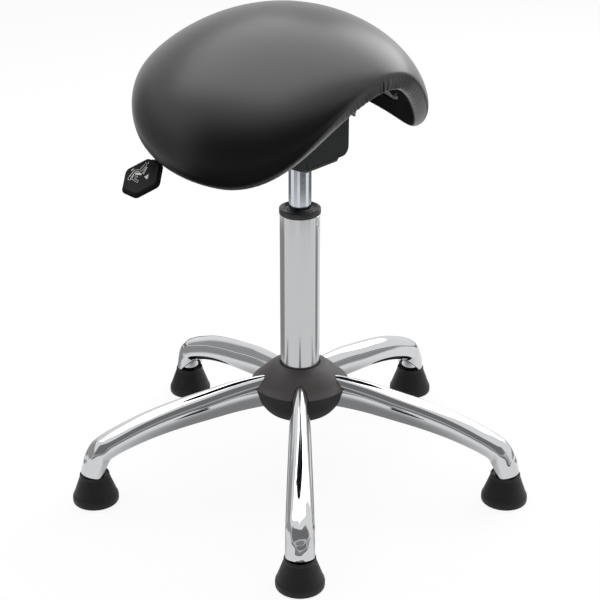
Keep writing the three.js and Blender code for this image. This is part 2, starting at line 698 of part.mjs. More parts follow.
add('seat_carrier', carrierGeometry(), blackSteel());

const boltTop = carrierTop + bolt.length - carrier.plate;
const headTop = carrierTop - carrier.plate - gap;
boltPlaces.forEach(([x, y], i) => {
  const head = hexagon(bolt.across, headTop - bolt.head, headTop);
  const shank = bar(bolt.radius, headTop - bolt.head, boltTop, bolt.sides);
  add(`seat_bolt_${i + 1}`, join(head, shank).translate(x, y, 0), steel());
});

// Levers: each rod starts on the X axis of its shaft, cranks back and drops to the paddle

/** Unit vector out along a paddle, drooping, with a little sweep. */
function paddleDirection(side) {
  const sweep = THREE.MathUtils.degToRad(paddle.sweep);
  const droop = THREE.MathUtils.degToRad(paddle.droop);
  return new THREE.Vector3(side * Math.cos(droop) * Math.cos(sweep), Math.cos(droop) * Math.sin(sweep),
    -Math.sin(droop));
}

/** Middle of the paddle's underside. */
const paddleCentre = (place) => new THREE.Vector3(place.x, place.y, casingLow + place.rise);

/** Turns a geometry laid out along X into a paddle's place, rolled so that its front edge is lower. */
function placePaddle(geometry, side, place) {
  const along = paddleDirection(side);
  const across = new THREE.Vector3(0, 0, 1).cross(along).normalize();
  const up = along.clone().cross(across);
  const basis = new THREE.Matrix4().makeBasis(along, across, up)
    .multiply(new THREE.Matrix4().makeRotationX(side * THREE.MathUtils.degToRad(paddle.roll)));
  return geometry.applyMatrix4(basis.setPosition(paddleCentre(place)));
}

/** The rod's path from a point on its shaft to just inside the paddle. */
function leverPath(side, from, y, z, place) {
  const out = paddleDirection(side);
  const centre = paddleCentre(place);
  const inner = centre.clone().addScaledVector(out, -paddle.length / 2);
  const end = inner.clone().addScaledVector(out, paddle.socketLength - gap);
  const neck = inner.clone().addScaledVector(out, -lever.paddleLap);
  const start = new THREE.Vector3(side * from, y, z);
  const exit = new THREE.Vector3(side * lever.exit, y, z);
  const straight = straightShares.map((share) => start.clone().lerp(exit, share));
  return new THREE.CatmullRomCurve3(
    [start, ...straight, exit, exit.clone().lerp(neck, 1 / 2), neck, inner, end], false, 'centripetal');
}

/** A round rod along a path. */
function rodAlong(path) {
  const section = new THREE.Shape().absarc(0, 0, lever.radius, 0, 2 * Math.PI);
  const round = new THREE.Shape(section.getPoints(lever.sides / 2).slice(0, -1));
  return outward(new THREE.ExtrudeGeometry(round, { extrudePath: path, steps: lever.steps }));
}

/** A hexagonal paddle, thin and slightly dished, with a socket for the rod under its root. */
function paddleGeometry(side, place) {
  const p = paddle;
  const plate = (inset, low, high) => {
    const half = p.length / 2 - inset;
    const wide = p.width / 2 - inset;
    const end = p.endWidth / 2 - inset / 2;
    return prism([[-half, -end], [-p.corner / 2, -wide], [p.corner / 2, -wide], [half, -end],
      [half, end], [p.corner / 2, wide], [-p.corner / 2, wide], [-half, end]], low, high);
  };
  const thick = p.thickness;
  const body = join(plate(p.bevel, 0, thick), plate(0, p.bevel, thick - p.bevel));
  const recessed = cut(body, plate(p.border, thick - p.recess, thick + overrun));
  const socketTube = bar(p.socketRadius, 0, p.socketLength + p.bevel, lever.sides)
    .rotateY(Math.PI / 2).translate(-p.length / 2, 0, 0);
  return placePaddle(join(recessed, common(socketTube,
    block([-p.length, -p.width, -p.socketRadius], [p.length, p.width, thick - p.bevel]))), side, place);
}

/** The bore in the paddle's socket that takes the rod: its flats clear the rod's corners. */
function paddleBore(side, place) {
  const radius = (lever.radius + gap) / Math.cos(Math.PI / lever.sides);
  return placePaddle(bar(radius, -overrun, paddle.socketLength, lever.sides)
    .rotateY(Math.PI / 2).translate(-paddle.length / 2, 0, 0), side, place);
}

const hubStart = bracket.halfWidth + gap;
const tiltHub = cut(
  crossBar(lever.hubRadius, -hubStart - lever.hubLength, -hubStart, clamp.y, clampZ, clamp.sides),
  crossBar(clamp.radius + gap, clampLeft - gap, 0, clamp.y, clampZ, clamp.sides));
add('tilt_lever_rod', join(tiltHub,
  rodAlong(leverPath(-1, hubStart + lever.hubLength - overrun, clamp.y, clampZ, tiltPaddle))), blackSteel());
add('tilt_paddle', cut(paddleGeometry(-1, tiltPaddle), paddleBore(-1, tiltPaddle)), greyPlastic());

const tabLow = cylinderTop + pin.rise + gap;
const valveTab = block([-valve.tabWidth / 2, valve.y - valve.tabReach, tabLow],
  [valve.tabWidth / 2, valve.y, tabLow + valve.tabThickness]);
add('height_lever_rod', join(valveTab,
  rodAlong(leverPath(1, -valve.tabWidth / 2, valve.y, valveZ, valvePaddle))), blackSteel());
add('height_paddle', cut(paddleGeometry(1, valvePaddle), paddleBore(1, valvePaddle)), greyPlastic());

// Saddle: one arched middle surface, from which every layer is set off along its normal

/** The parabola through a rear, middle and front value, at a distance ahead of the column. */
function throughStations({ rear, middle, front }, ahead) {
  const a = saddle.ahead;
  const b = saddle.behind;
  const bend = ((front - middle) / a - (middle - rear) / b) / (a + b);
  const slope = (middle - rear) / b + bend * b;
  return middle + slope * ahead + bend * ahead * ahead;
}

/** Point of the middle surface: along runs from rear (-1) to front (1), across from left to right. */
function saddleMiddle(along, across) {
  const s = saddle;
  const angle = across * s.archAngle;
  const dip = (1 - Math.cos(angle)) / (1 - Math.cos(s.archAngle));
  const front = s.frontReach - s.frontSweep * dip;
  const rear = -s.rearReach + s.rearSweep * dip;
  const ahead = (front + rear) / 2 + (along * (front - rear)) / 2;
  const q = ahead / s.behind;
  const crown = seatCrown - s.fall * q - s.bend * q * q + s.rise * q * q * q;
  return new THREE.Vector3(
    (throughStations(saddleHalfWidth, ahead) * Math.sin(angle)) / Math.sin(s.archAngle),
    -ahead,
    crown - throughStations(saddleDrop, ahead) * dip);
}

/** Unit normal of the middle surface, pointing up and out. */
function saddleNormal(along, across) {
  const step = 1e-3;
  const alongEdge = saddleMiddle(along + step, across).sub(saddleMiddle(along - step, across));
  const acrossEdge = saddleMiddle(along, across + step).sub(saddleMiddle(along, across - step));
  return acrossEdge.cross(alongEdge).negate().normalize();
}

/**
 * Point of a layer of the saddle. The share runs from the middle (0) to the rim (1) in the
 * direction of an angle round the outline, side is 1 on top and -1 underneath, depth is how far
 * the layer lies inside the cover, and lift raises it off its side.
 */
function saddlePoint(share, angle, side, depth, lift) {
  const s = saddle;
  const c = Math.cos(angle);
  const a = Math.sin(angle);
  const corner = c > 0 ? s.frontCorner : s.rearCorner;
  const reach = (Math.abs(c) ** corner + Math.abs(a) ** corner) ** (-1 / corner);
  const drawn = share * reach * (1 - depth / s.rimReach);
  const swell = (1 - share ** s.rimRound) ** (1 / s.rimRound);
  const offset = side * (s.thickness / 2 - depth) * swell + lift;
  return saddleMiddle(drawn * c, drawn * a).addScaledVector(saddleNormal(drawn * c, drawn * a), offset);
}

/** A ring of a layer, or the single point at its middle. */
function saddleRing(share, side, depth, lift = 0) {
  const count = share > 0 ? saddle.sides : 1;
  return Array.from({ length: count }, (_, i) =>
    saddlePoint(share, (2 * Math.PI * i) / saddle.sides, side, depth, lift));
}

const foamDepth = saddle.cover + gap;
const outwards = [0, ...topShares, 1];
const shellOut = [0, ...shellShares];

add('seat_cover', skin([
  ...outwards.map((share) => saddleRing(share, 1, 0)),
  ...underShares.map((share) => saddleRing(share, -1, 0)),
  ...[...underShares].reverse().map((share) => saddleRing(share, -1, saddle.cover)),
  ...[...outwards].reverse().map((share) => saddleRing(share, 1, saddle.cover)),
]), leatherette());

const foamUnder = underShares.slice(0, 2);
add('seat_foam', skin([
  ...outwards.map((share) => saddleRing(share, 1, foamDepth)),
  ...foamUnder.map((share) => saddleRing(share, -1, foamDepth)),
  ...[...shellOut, foamUnder[1]].reverse().map((share) =>
    saddleRing(share, -1, foamDepth, saddle.shell + gap)),
]), foamFinish());

/** A slab that follows the underside of the foam between two lifts, out to a share of the way. */
function underSlab(upper, lower, drop) {
  const inside = shellOut.slice(0, -1);
  const rings = (lift, fall) => inside.map((share) =>
    saddleRing(share, -1, foamDepth, lift).map((p) => p.setZ(p.z - fall)));
  return skin([...rings(upper, 0), ...rings(lower, drop).reverse()]);
}

/** The shell plate with a grid of ribs and four bosses down to the carrier plate. */
function shellGeometry() {
  const plate = skin([
    ...shellOut.map((share) => saddleRing(share, -1, foamDepth, saddle.shell)),
    ...[...shellOut].reverse().map((share) => saddleRing(share, -1, foamDepth)),
  ]);
  const low = carrierTop + gap;
  const half = rib.thickness / 2;
  const reach = saddle.rearReach + saddle.thickness;
  const bars = [
    ...lengthwiseRibShares.map((share) => share * saddle.rimReach).map((x) =>
      block([x - half, -reach, casingLow - boss.reach], [x + half, reach, seatCrown + boss.reach])),
    ...crosswiseRibShares.map((share) => share * saddle.rimReach).map((y) =>
      block([-reach, y - half, casingLow - boss.reach], [reach, y + half, seatCrown + boss.reach])),
  ];
  const ribs = common(join(...bars), underSlab(saddle.shell / 2, -rib.depth, 0));
  const posts = join(...boltPlaces.map(([x, y]) =>
    bar(boss.radius, low, seatCrown, boss.sides).translate(x, y, 0)));
  const bosses = common(posts, underSlab(saddle.shell / 2, 0, boss.reach));
  const bores = boltPlaces.map(([x, y]) =>
    bar(bolt.radius + gap, low - overrun, boltTop + gap, bolt.sides).translate(x, y, 0));
  return cut(join(plate, ribs, bosses), ...bores);
}

add('seat_shell', shellGeometry(), blackPlastic());

// The origin lies under the middle of the footprint, which five legs don't centre on the column
const legEnds = (turn) => Array.from({ length: legCount }, (_, i) => glideCircle * turn(legAngle(i)));
const middleOf = (places) => (Math.max(...places) + Math.min(...places)) / 2;
stool.position.set(-middleOf(legEnds(Math.cos)), -middleOf(legEnds(Math.sin)), 0);

export default stool;
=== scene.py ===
from math import pi, radians

import bmesh
import bpy
import numpy as np
from bpy.props import FloatProperty, FloatVectorProperty, PointerProperty
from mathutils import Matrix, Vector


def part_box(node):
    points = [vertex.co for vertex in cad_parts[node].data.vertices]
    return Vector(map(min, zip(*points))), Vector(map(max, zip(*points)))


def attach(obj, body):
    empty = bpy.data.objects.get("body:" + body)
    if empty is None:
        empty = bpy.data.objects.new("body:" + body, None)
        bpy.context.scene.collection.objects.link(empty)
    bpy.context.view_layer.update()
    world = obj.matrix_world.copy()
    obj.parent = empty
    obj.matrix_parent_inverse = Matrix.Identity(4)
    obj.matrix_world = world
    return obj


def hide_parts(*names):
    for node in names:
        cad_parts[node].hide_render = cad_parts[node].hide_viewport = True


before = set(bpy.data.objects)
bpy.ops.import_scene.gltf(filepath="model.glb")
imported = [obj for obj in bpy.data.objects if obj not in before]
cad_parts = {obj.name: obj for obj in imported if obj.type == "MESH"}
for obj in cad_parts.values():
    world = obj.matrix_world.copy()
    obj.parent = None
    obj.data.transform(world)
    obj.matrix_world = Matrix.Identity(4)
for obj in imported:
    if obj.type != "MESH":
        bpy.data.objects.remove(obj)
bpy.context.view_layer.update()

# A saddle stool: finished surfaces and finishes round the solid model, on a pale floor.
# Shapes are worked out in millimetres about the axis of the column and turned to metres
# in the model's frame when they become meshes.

bl_info = {
    "name": "Saddle Stool",
    "version": (1, 0, 0),
    "blender": (4, 5, 0),
    "location": "View3D > Sidebar > Saddle Stool",
    "description": "Dresses the solid model of a saddle stool and sets it on a studio floor",
    "category": "Add Mesh",
}

MM = 0.001
MERGE = 2e-6  # metres within which two points become one
GAP = 0.3  # what a new surface keeps clear of its neighbour
LEGS = 5
FIRST_LEG = radians(220)
LEG_ANGLES = [FIRST_LEG + i * 2 * pi / LEGS for i in range(LEGS)]

# Degrees past which an edge stays sharp, on hard pieces, paddles and pads, and the rounding of
# the copied solids' edges
CREASE, PADDLE_CREASE, PAD_CREASE = 35, 50, 60
SOFT_EDGE = dict(shell=0.8, steel=0.6, bolt=0.4)

# How many sides the round pieces have
SIDES = dict(glide=96, sleeve=64, hub=144, tube=256, column=128, bar=32, lever_hub=64, socket=40,
             column_hole=64, lever_hole=48)

# The box of the outer tube gives the place of the column's axis
COLUMN = np.array([*((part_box("outer_tube")[0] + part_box("outer_tube")[1]) / 2)[:2], 0.0])

# Saddle: how far the arch reaches and bends, as in the solid model
SADDLE = dict(front=136, rear=173, front_sweep=37, rear_sweep=4, ahead=120, behind=150, fall=14,
              bend=42, rise=4, arch=1.3, thickness=49, front_corner=6, rear_corner=3.9,
              round=2.6, cover=1.6, shell=9, rim=150, crown=582)
HALF_WIDTH = (130, 182, 101)
DROP = (58, 139, 107)

# Flat front of the pad: where it stands at the top and bottom as shares of the way out, how
# softly its crease turns in the middle and more at the corners, and the spans it fades over
FRONT_WALL = dict(upper=0.915, lower=1.03, soft=0.004, corner_soft=0.018, corner=(0.3, 0.7),
                  fade=(0.7, 0.85), window=(0.45, 0.9))

# Puckers of the cover. Each wave is a size, a number of beats round the rim and a start
GATHERS = dict(wander=((1.6, 5, 0.7), (1.3, 13, 2.1), (0.9, 31, 4.4)), sharpness=0.8, level=0.7,
               uneven=((0.2, 17, 1.3), (0.25, 43, 3.9)), mean=0.65, least=0.12,
               corner=(0.3, 0.62), corner_loss=0.75, far=(0.05, 0.4), far_loss=0.5,
               start=1.33, edge=((0.03, 23, 0.5),), grow=0.2)

# How far the cover and foam turn under, where the lining begins, and the fineness of their grids
COVER = dict(under=0.80, shoulder=1.0, lining=(1.6, 1.8), lining_front=0.2, around=1008, top=20,
             rim=56, inside=14)
FOAM = dict(under=0.93, around=288, outside=40, inside=20)

# Legs: distance out, height, depth and width of each stop of the tube, as shares
GLIDE_CIRCLE = 271.5
LEG = dict(height=119.8, depth=43.6, width=34.6, wall=2, slope=1.1, inset=3.4, sides=72,
           outer_rings=150, inner_rings=60)
LEG_SHARES = np.array([
    (0.1164, 1.000, 1.000, 0.46), (0.215, 0.995, 0.997, 0.62), (0.322, 0.975, 0.975, 0.72),
    (0.460, 0.923, 0.925, 0.79), (0.600, 0.865, 0.875, 0.84), (0.735, 0.790, 0.825, 0.89),
    (0.845, 0.704, 0.765, 0.93), (0.921, 0.630, 0.735, 0.96), (0.967, 0.560, 0.725, 0.98),
    (0.990, 0.440, 0.740, 0.99), (1.000, 0.327, 0.794, 1.00)])
# Each ripple is a size, a number of waves round the tube and a twist along it
RIPPLES = dict(size=0.2, waves=((1, 5, 34), (0.7, 9, -23), (0.6, 3, 61)), rise=(0.66, 0.8),
               fall=(0.99, 0.9))
# Flat oval left by the press: its depth, its place and half length as shares of the leg, its half
# width as the sine of an angle round the tube, and the share of it that lies flat
PRESS_MARK = dict(depth=0.6, place=0.83, length=0.08, width=0.62, flat=0.6)
LEG_SLOTS = dict(reach=0.42, rings=26, sides=48)

# Feet
GLIDE = dict(height=38.8, foot=28.9, top=18.4, band=9.5, taper=0.5, lip=1.6, dish=1.8,
             heel=21, heel_depth=1.5)
STEM = dict(radius=5, seat=11)
SLEEVE = dict(radius=12.8, length=12.6, edge=0.9)

# Hub cover and column
HUB = dict(parting=125, collar=154.5, collar_radius=27, rim=62, rim_low=121, rim_high=128,
           bowl_low=86.5, bowl_radius=37, lip=29, wall=2.4, overhang=2, clearance=0.5,
           dome_rings=40, collar_rings=8, bowl_rings=30)
DOME_SHARES = np.array([(0, 1), (0.2, 0.91), (0.4, 0.73), (0.6, 0.5), (0.82, 0.2), (1, 0)])
BOWL_SHARES = np.array([(0, 0), (0.26, 0.11), (0.53, 0.32), (0.80, 0.60), (1, 1)])
TUBE = dict(radius=25, wall=2, top=355.5, bottom=96.5, taper=1.1, taper_top=150, lip=2.5,
            edge=0.8, mouth=0.6, rings=220)
DIMPLE = dict(angle=FIRST_LEG + radians(60), height=346.5, width=1.3)
BUSH = dict(radius=25.8, top=363.3, inset=3.4, drop=1.2, length=68, well=2.2)
CYLINDER = dict(radius=14, wall=2.5, bottom=157, top=464, taper=0.7, taper_length=42, cap=8,
                hollow_top=392)
ROD_RADIUS = 5
PIN_RADIUS = 3
PIN_LOW = 452

# Casing of the mechanism: its sides draw in at the bottom over a rounding
CASING = dict(half=50, front=-36.3, rear=76, low=426.5, top=487, wall=2.2, round=11, edge=0.6,
              corners=(2.5, 2.5, 9, 9), hole=17, slit=30, slit_width=1.2, slit_height=8)

# Levers and paddles
LEVER = dict(radius=5, hub_radius=9, hub_length=14, exit=62, lap=12, shaft=35.3, bolt=4,
             edge=0.9, rings=140)
# How far behind the column and how high the clamp bolt and the far lever's shaft lie
CLAMP = (38, 455)
VALVE = (16, 475)
TAB = dict(width=12, reach=22, low=470.3, thickness=3)
PADDLE = dict(length=54, width=46.5, end=21, thickness=7.2, corner=5, sweep=-1.2, droop=30.5,
              roll=12.5, socket_radius=7.5, socket_length=20, recess=0.5, dish=0.4)
# Rings of a paddle from its underside to its face: inset, corner radius and height
PADDLE_RINGS = ((2.5, 4, 0), (1.0, 5, 0.3), (0.2, 6, 1.1), (0, 6, 2.0), (0, 6, 2.9),
                (0.25, 6, 3.15), (2.2, 5, 3.2), (2.2, 5, 4.1), (1.0, 5.6, 4.15),
                (1.0, 5.6, 4.9), (1.4, 5.3, 5.9), (2.3, 4.8, 6.7), (3.6, 4.2, 7.1),
                (4.6, 3.8, PADDLE["thickness"]), (5.2, 3.4, 7.0), (5.8, 3.1, 6.75),
                (6.4, 3, PADDLE["thickness"] - PADDLE["recess"]))
TILT_PADDLE = (-183.4, 81.4, 428.4)
VALVE_PADDLE = (175, 80, 434)
INK = dict(line=0.6, height=0.45)

# Axes that lay a surface of revolution along X, towards the far side and towards the near one
FAR_AXES = ((0, 0, -1), (0, 1, 0), (1, 0, 0))
NEAR_AXES = ((0, -1, 0), (0, 0, 1), (-1, 0, 0))

# Stage, in metres and degrees. Glow is the share of the floor's look that is plain white, and
# bounce the grey of the light it throws back
WHITE = (1, 1, 1, 1)
FLOOR = dict(reach=6.0, height=-0.0003, glow=0.88, bounce=(0.5, 0.5, 0.5, 1))
LAMPS = {  # place, aim, width and share of the lamp power
    "overhead_lamp": ((0.07, 0.42, 2.35), (0.05, 0.2, 0.3), 3.0, 1.0),
    "edge_lamp": ((2.3, -0.1, 1.75), (0, 0, 0.4), 2.0, 0.58),
}
CAMERA = dict(place=(-1.2966, -1.0880, 0.98166), turn=(66.51, 0, -50), lens=88.36, sensor=36.0,
              shift=-0.0084, reach=50.0)

# Studio flags: directions in degrees, distances and heights in metres, brightness, and how much
# of each end fades to white. A full circle fades only outwards.
FLAGS = {
    "camera_flag": ((150, 282), (2.8, 2.8), (0.35, 2.7), 0.22, 0.15),
    "horizon_flag": ((150, 282), (2.75, 2.75), (-0.5, 0.5), 0.3, 0.15),
    "low_flag": ((126, 306), (0.32, 1.30), (0.0015, 0.0015), 0.97, 0.03),
    "left_flag": ((75, 165), (2.7, 2.7), (-0.5, 1.5), 0.4, 0.2),
    "near_floor_flag": ((150, 290), (1.30, 2.9), (0.001, 0.001), 0.02, 0.08),
    "cylinder_right_flag": ((217, 283), (0.99, 1.36), (0.003, 0.003), 0.12, 0.08),
    "cylinder_left_flag": ((156, 194), (0.99, 1.36), (0.003, 0.003), 0.5, 0.08),
    "cylinder_back_flag": ((-48, 123), (0.99, 1.5), (0.003, 0.003), 0.15, 0.04),
    "tube_left_flag": ((38, 126), (0.30, 0.98), (0.002, 0.002), 0.35, 0.1),
    "tube_right_flag": ((316, 342), (0.30, 0.98), (0.002, 0.002), 0.35, 0.15),
    # Grey disc on the floor under the stool that only gloss sees: painted shadow of the stool in
    # what the chrome, plastic and leatherette reflect
    "painted_shadow_under_stool": ((0, 360), (0.0, 0.30), (0.004, 0.004), 0.3, 0.3),
}
# The leatherette reflects a darker room than the chrome: these flags give it no light
BLACK_TO_SADDLE = ("camera_flag", "horizon_flag", "low_flag", "cylinder_left_flag")


# Numbers and outlines

def linear(code):
    """Linear colour of an sRGB hex code."""
    value = np.array([int(code[i:i + 2], 16) for i in (1, 3, 5)]) / 255
    return tuple(np.where(value <= 0.04045, value / 12.92, ((value + 0.055) / 1.055) ** 2.4))


def unit(vectors):
    """Vectors at length one; those of no length stay nought."""
    size = np.linalg.norm(vectors, axis=-1, keepdims=True)
    return vectors / np.where(size > 0, size, 1)


def smooth(value, low, high):
    """Nought below low, one above high, and 3t squared less 2t cubed between."""
    t = np.clip((value - low) / (high - low), 0, 1)
    return t * t * (3 - 2 * t)


def through(stops, shares):
    """Curve through the stops at shares of the way. Each span is a cubic whose slopes come from
    its neighbours, weighed by the square root of the distances between the stops."""
    stops = np.asarray(stops, float)
    row = np.vstack([2 * stops[0] - stops[1], stops, 2 * stops[-1] - stops[-2]])
    last = len(stops) - 1
    place = np.clip(np.asarray(shares, float) * last, 0, last)
    index = np.minimum(place.astype(int), last - 1)
    u = (place - index)[..., None]
    a, b, c, d = (row[index + k] for k in range(4))
    ab, bc, cd = (np.sqrt(np.linalg.norm(q - p, axis=-1, keepdims=True))
                  for p, q in ((a, b), (b, c), (c, d)))
    start = ((b - a) / ab - (c - a) / (ab + bc) + (c - b) / bc) * bc
    end = ((c - b) / bc - (d - b) / (bc + cd) + (d - c) / cd) * bc
    return (b + start * u + (3 * (c - b) - 2 * start - end) * u ** 2
            + (2 * (b - c) + start + end) * u ** 3)


def rounded(corners, cuts, steps=4):
    """Outline with soft corners: a parabola from a cut's length before each corner to as far
    after it, and no cut longer than 0.45 of the edges beside it."""
    corners = np.asarray(corners, float)
    before, after = np.roll(corners, 1, 0) - corners, np.roll(corners, -1, 0) - corners
    shorter = np.minimum(np.linalg.norm(before, axis=1), np.linalg.norm(after, axis=1))
    cut = np.minimum(cuts, 0.45 * shorter)[:, None, None]
    t = np.linspace(0, 1, steps + 1)[None, :, None]
    arc = cut * (unit(before)[:, None] * (1 - t) ** 2 + unit(after)[:, None] * t ** 2)
    return (corners[:, None] + arc).reshape(-1, 2)


def profile(stops):
    """Outline of a turned piece from stops that give radius, height and cut of the corner."""
    stops = np.asarray(stops, float)
    return rounded(stops[:, :2], stops[:, 2])


def oblong(low, high, cuts, steps=4):
    """Rectangle between two corners with its own corners rounded."""
    (x0, y0), (x1, y1) = low, high
    return rounded([(x0, y0), (x1, y0), (x1, y1), (x0, y1)], cuts, steps)


def at_height(outline, height):
    """A flat outline as a ring of points at a height."""
    return np.column_stack([outline, np.full(len(outline), height)])


# Surfaces: rings of points that become quads

def loft(rings, closed=False):
    """Points and quads of the surface between neighbouring rings. A ring drawn to one point is a
    pole, the last ring joins the first where closed, and the faces are turned outwards by the
    sign of the volume they hold."""
    rings = np.asarray(rings, float)
    rows, columns = rings.shape[:2]
    points = rings.reshape(-1, 3)
    r, c = np.meshgrid(np.arange(rows if closed else rows - 1), np.arange(columns), indexing="ij")
    below, right = (r + 1) % rows, (c + 1) % columns
    faces = np.stack([r * columns + c, r * columns + right, below * columns + right,
                      below * columns + c], -1).reshape(-1, 4)
    p, q, s, t = (points[faces[:, k]] for k in range(4))
    volume = np.sum(p * np.cross(q, s)) + np.sum(p * np.cross(s, t))
    return points, faces if volume > 0 else faces[:, ::-1]


def capped(rings):
    """Surface through rings, closed at both ends by a ring drawn to one point."""
    rings = np.asarray(rings, float)
    first, last = (np.broadcast_to(ring.mean(0), (1, *ring.shape)) for ring in rings[[0, -1]])
    return loft(np.concatenate([first, rings, last]))


def prism(outline, low, high):
    """Solid with an outline for its sides between two heights."""
    return capped([at_height(outline, low), at_height(outline, high)])


def together(*shells):
    """Several closed surfaces as one set of points and faces."""
    starts = np.cumsum([0] + [len(points) for points, _ in shells[:-1]])
    return (np.vstack([points for points, _ in shells]),
            np.vstack([faces + start for (_, faces), start in zip(shells, starts)]))


def revolve(outline, sides, closed=True, bump=None):
    """Surface of revolution: every point of the outline, given as radius and height, goes round
    the upright axis. A bump adds to the radius by a function of angle and height."""
    radius, height = np.asarray(outline, float).T
    angle = np.arange(sides) * 2 * pi / sides
    reach = radius[:, None] + (bump(angle[None, :], height[:, None]) if bump else 0)
    rings = np.stack([reach * np.cos(angle), reach * np.sin(angle),
                      np.broadcast_to(height[:, None], (len(radius), sides))], -1)
    return loft(rings, closed)


def rod(radius, low, high, sides):
    """Solid round rod between two heights."""
    return revolve([(0, low), (radius, low), (radius, high), (0, high)], sides, closed=False)


def along_path(path, radius, sides, reference):
    """Round bar: circles set square to the path, turned by a fixed reference direction."""
    slope = unit(np.gradient(path, axis=0))
    side = unit(np.cross(slope, reference))
    up = np.cross(side, slope)
    angle = np.arange(sides)[None, :, None] * 2 * pi / sides
    return capped(path[:, None] + radius * (side[:, None] * np.cos(angle)
                                            + up[:, None] * np.sin(angle)))


def turned(surface, angle, shift=(0, 0, 0)):
    """A surface moved by a shift and then turned about the column."""
    points, faces = surface
    c, s = np.cos(angle), np.sin(angle)
    return (points + shift) @ np.array([(c, s, 0), (-s, c, 0), (0, 0, 1)]), faces


def placed(surface, origin, axes):
    """A surface laid out along X, Y and Z moved to an origin and three unit axes."""
    points, faces = surface
    return np.asarray(origin) + points @ np.asarray(axes), faces


# Meshes and objects

def link_new(name, data):
    """A new object in the scene."""
    piece = bpy.data.objects.new(name, data)
    bpy.context.scene.collection.objects.link(piece)
    return piece


def add_object(name, surface, crease=CREASE, lining=None):
    """An object from points in millimetres about the column: what coincides is merged, and edges
    sharper than the crease angle stay sharp. Where asked, each point says how far it is lining."""
    points, faces = surface
    mesh = bpy.data.meshes.new(name)
    mesh.from_pydata(points * MM + COLUMN, [], faces)
    if lining is not None:
        mesh.attributes.new("lining", "FLOAT", "POINT").data.foreach_set("value", lining)
    weld(mesh)
    mesh.shade_smooth()
    mesh.set_sharp_from_angle(angle=radians(crease))
    return link_new(name, mesh)


def weld(mesh, flat=None):
    """Merges coinciding points and, where asked, joins faces that lie flat within an angle."""
    work = bmesh.new()
    work.from_mesh(mesh)
    bmesh.ops.remove_doubles(work, verts=work.verts, dist=MERGE)
    if flat is not None:
        bmesh.ops.dissolve_limit(work, angle_limit=flat, verts=work.verts, edges=work.edges)
    work.to_mesh(mesh)
    work.free()
    mesh.update()


def cut_away(piece, tools):
    """Cuts closed surfaces out of a piece for good."""
    cutter = add_object("cutter", tools)
    modifier = piece.modifiers.new("slots", "BOOLEAN")
    modifier.object = cutter
    modifier.operation = "DIFFERENCE"
    modifier.solver = "EXACT"
    shaped = piece.evaluated_get(bpy.context.evaluated_depsgraph_get())
    mesh = bpy.data.meshes.new_from_object(shaped)
    piece.modifiers.clear()
    piece.data = mesh
    mesh.set_sharp_from_angle(angle=radians(CREASE))
    bpy.data.objects.remove(cutter)


def finish_piece(piece, body, slot, material, *nodes):
    """Gives a piece its finish, puts it on its body and hides the nodes it stands for. The slot it
    is given is not used.
    """
    piece.data.materials.clear()
    piece.data.materials.append(material)
    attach(piece, body)
    if nodes:
        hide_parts(*nodes)
    return piece


def add_piece(name, surface, body, slot, material, *nodes, crease=CREASE, lining=None):
    """A new surface as a finished piece in place of nodes of the model."""
    return finish_piece(add_object(name, surface, crease, lining), body, slot, material, *nodes)


def add_softened(name, node, radius, body, slot, material):
    """A copy of a solid of the model, its triangles merged and its edges rounded, in its place."""
    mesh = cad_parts[node].data.copy()
    mesh.name = name
    weld(mesh, flat=radians(1))
    mesh.shade_smooth()
    piece = link_new(name, mesh)
    bevel = piece.modifiers.new("soft edges", "BEVEL")
    bevel.width = radius * MM
    bevel.segments = 3
    bevel.limit_method = "ANGLE"
    bevel.angle_limit = radians(32)
    bevel.harden_normals = True
    return finish_piece(piece, body, slot, material, node)


def dress(material, *nodes):
    """Gives solids of the model that stay in view their finish."""
    for name in nodes:
        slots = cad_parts[name].material_slots
        if not slots:
            raise RuntimeError(f"{name} has no material slot")
        for slot in slots:
            slot.link = "OBJECT"
            slot.material = material


# Finishes

# Leatherette: the width of a crease as a share of a pebble, the size in millimetres of its paler
# patches and how much paler they are, roughness in a crease and on a pebble, the specular level of
# its face and of the lining, and the height of a pebble in millimetres
LEATHERETTE = dict(crease=0.25, patches=60, light=1.35, roughness=(0.36, 0.28), shine=(0.5, 0.04),
                   relief=0.02)

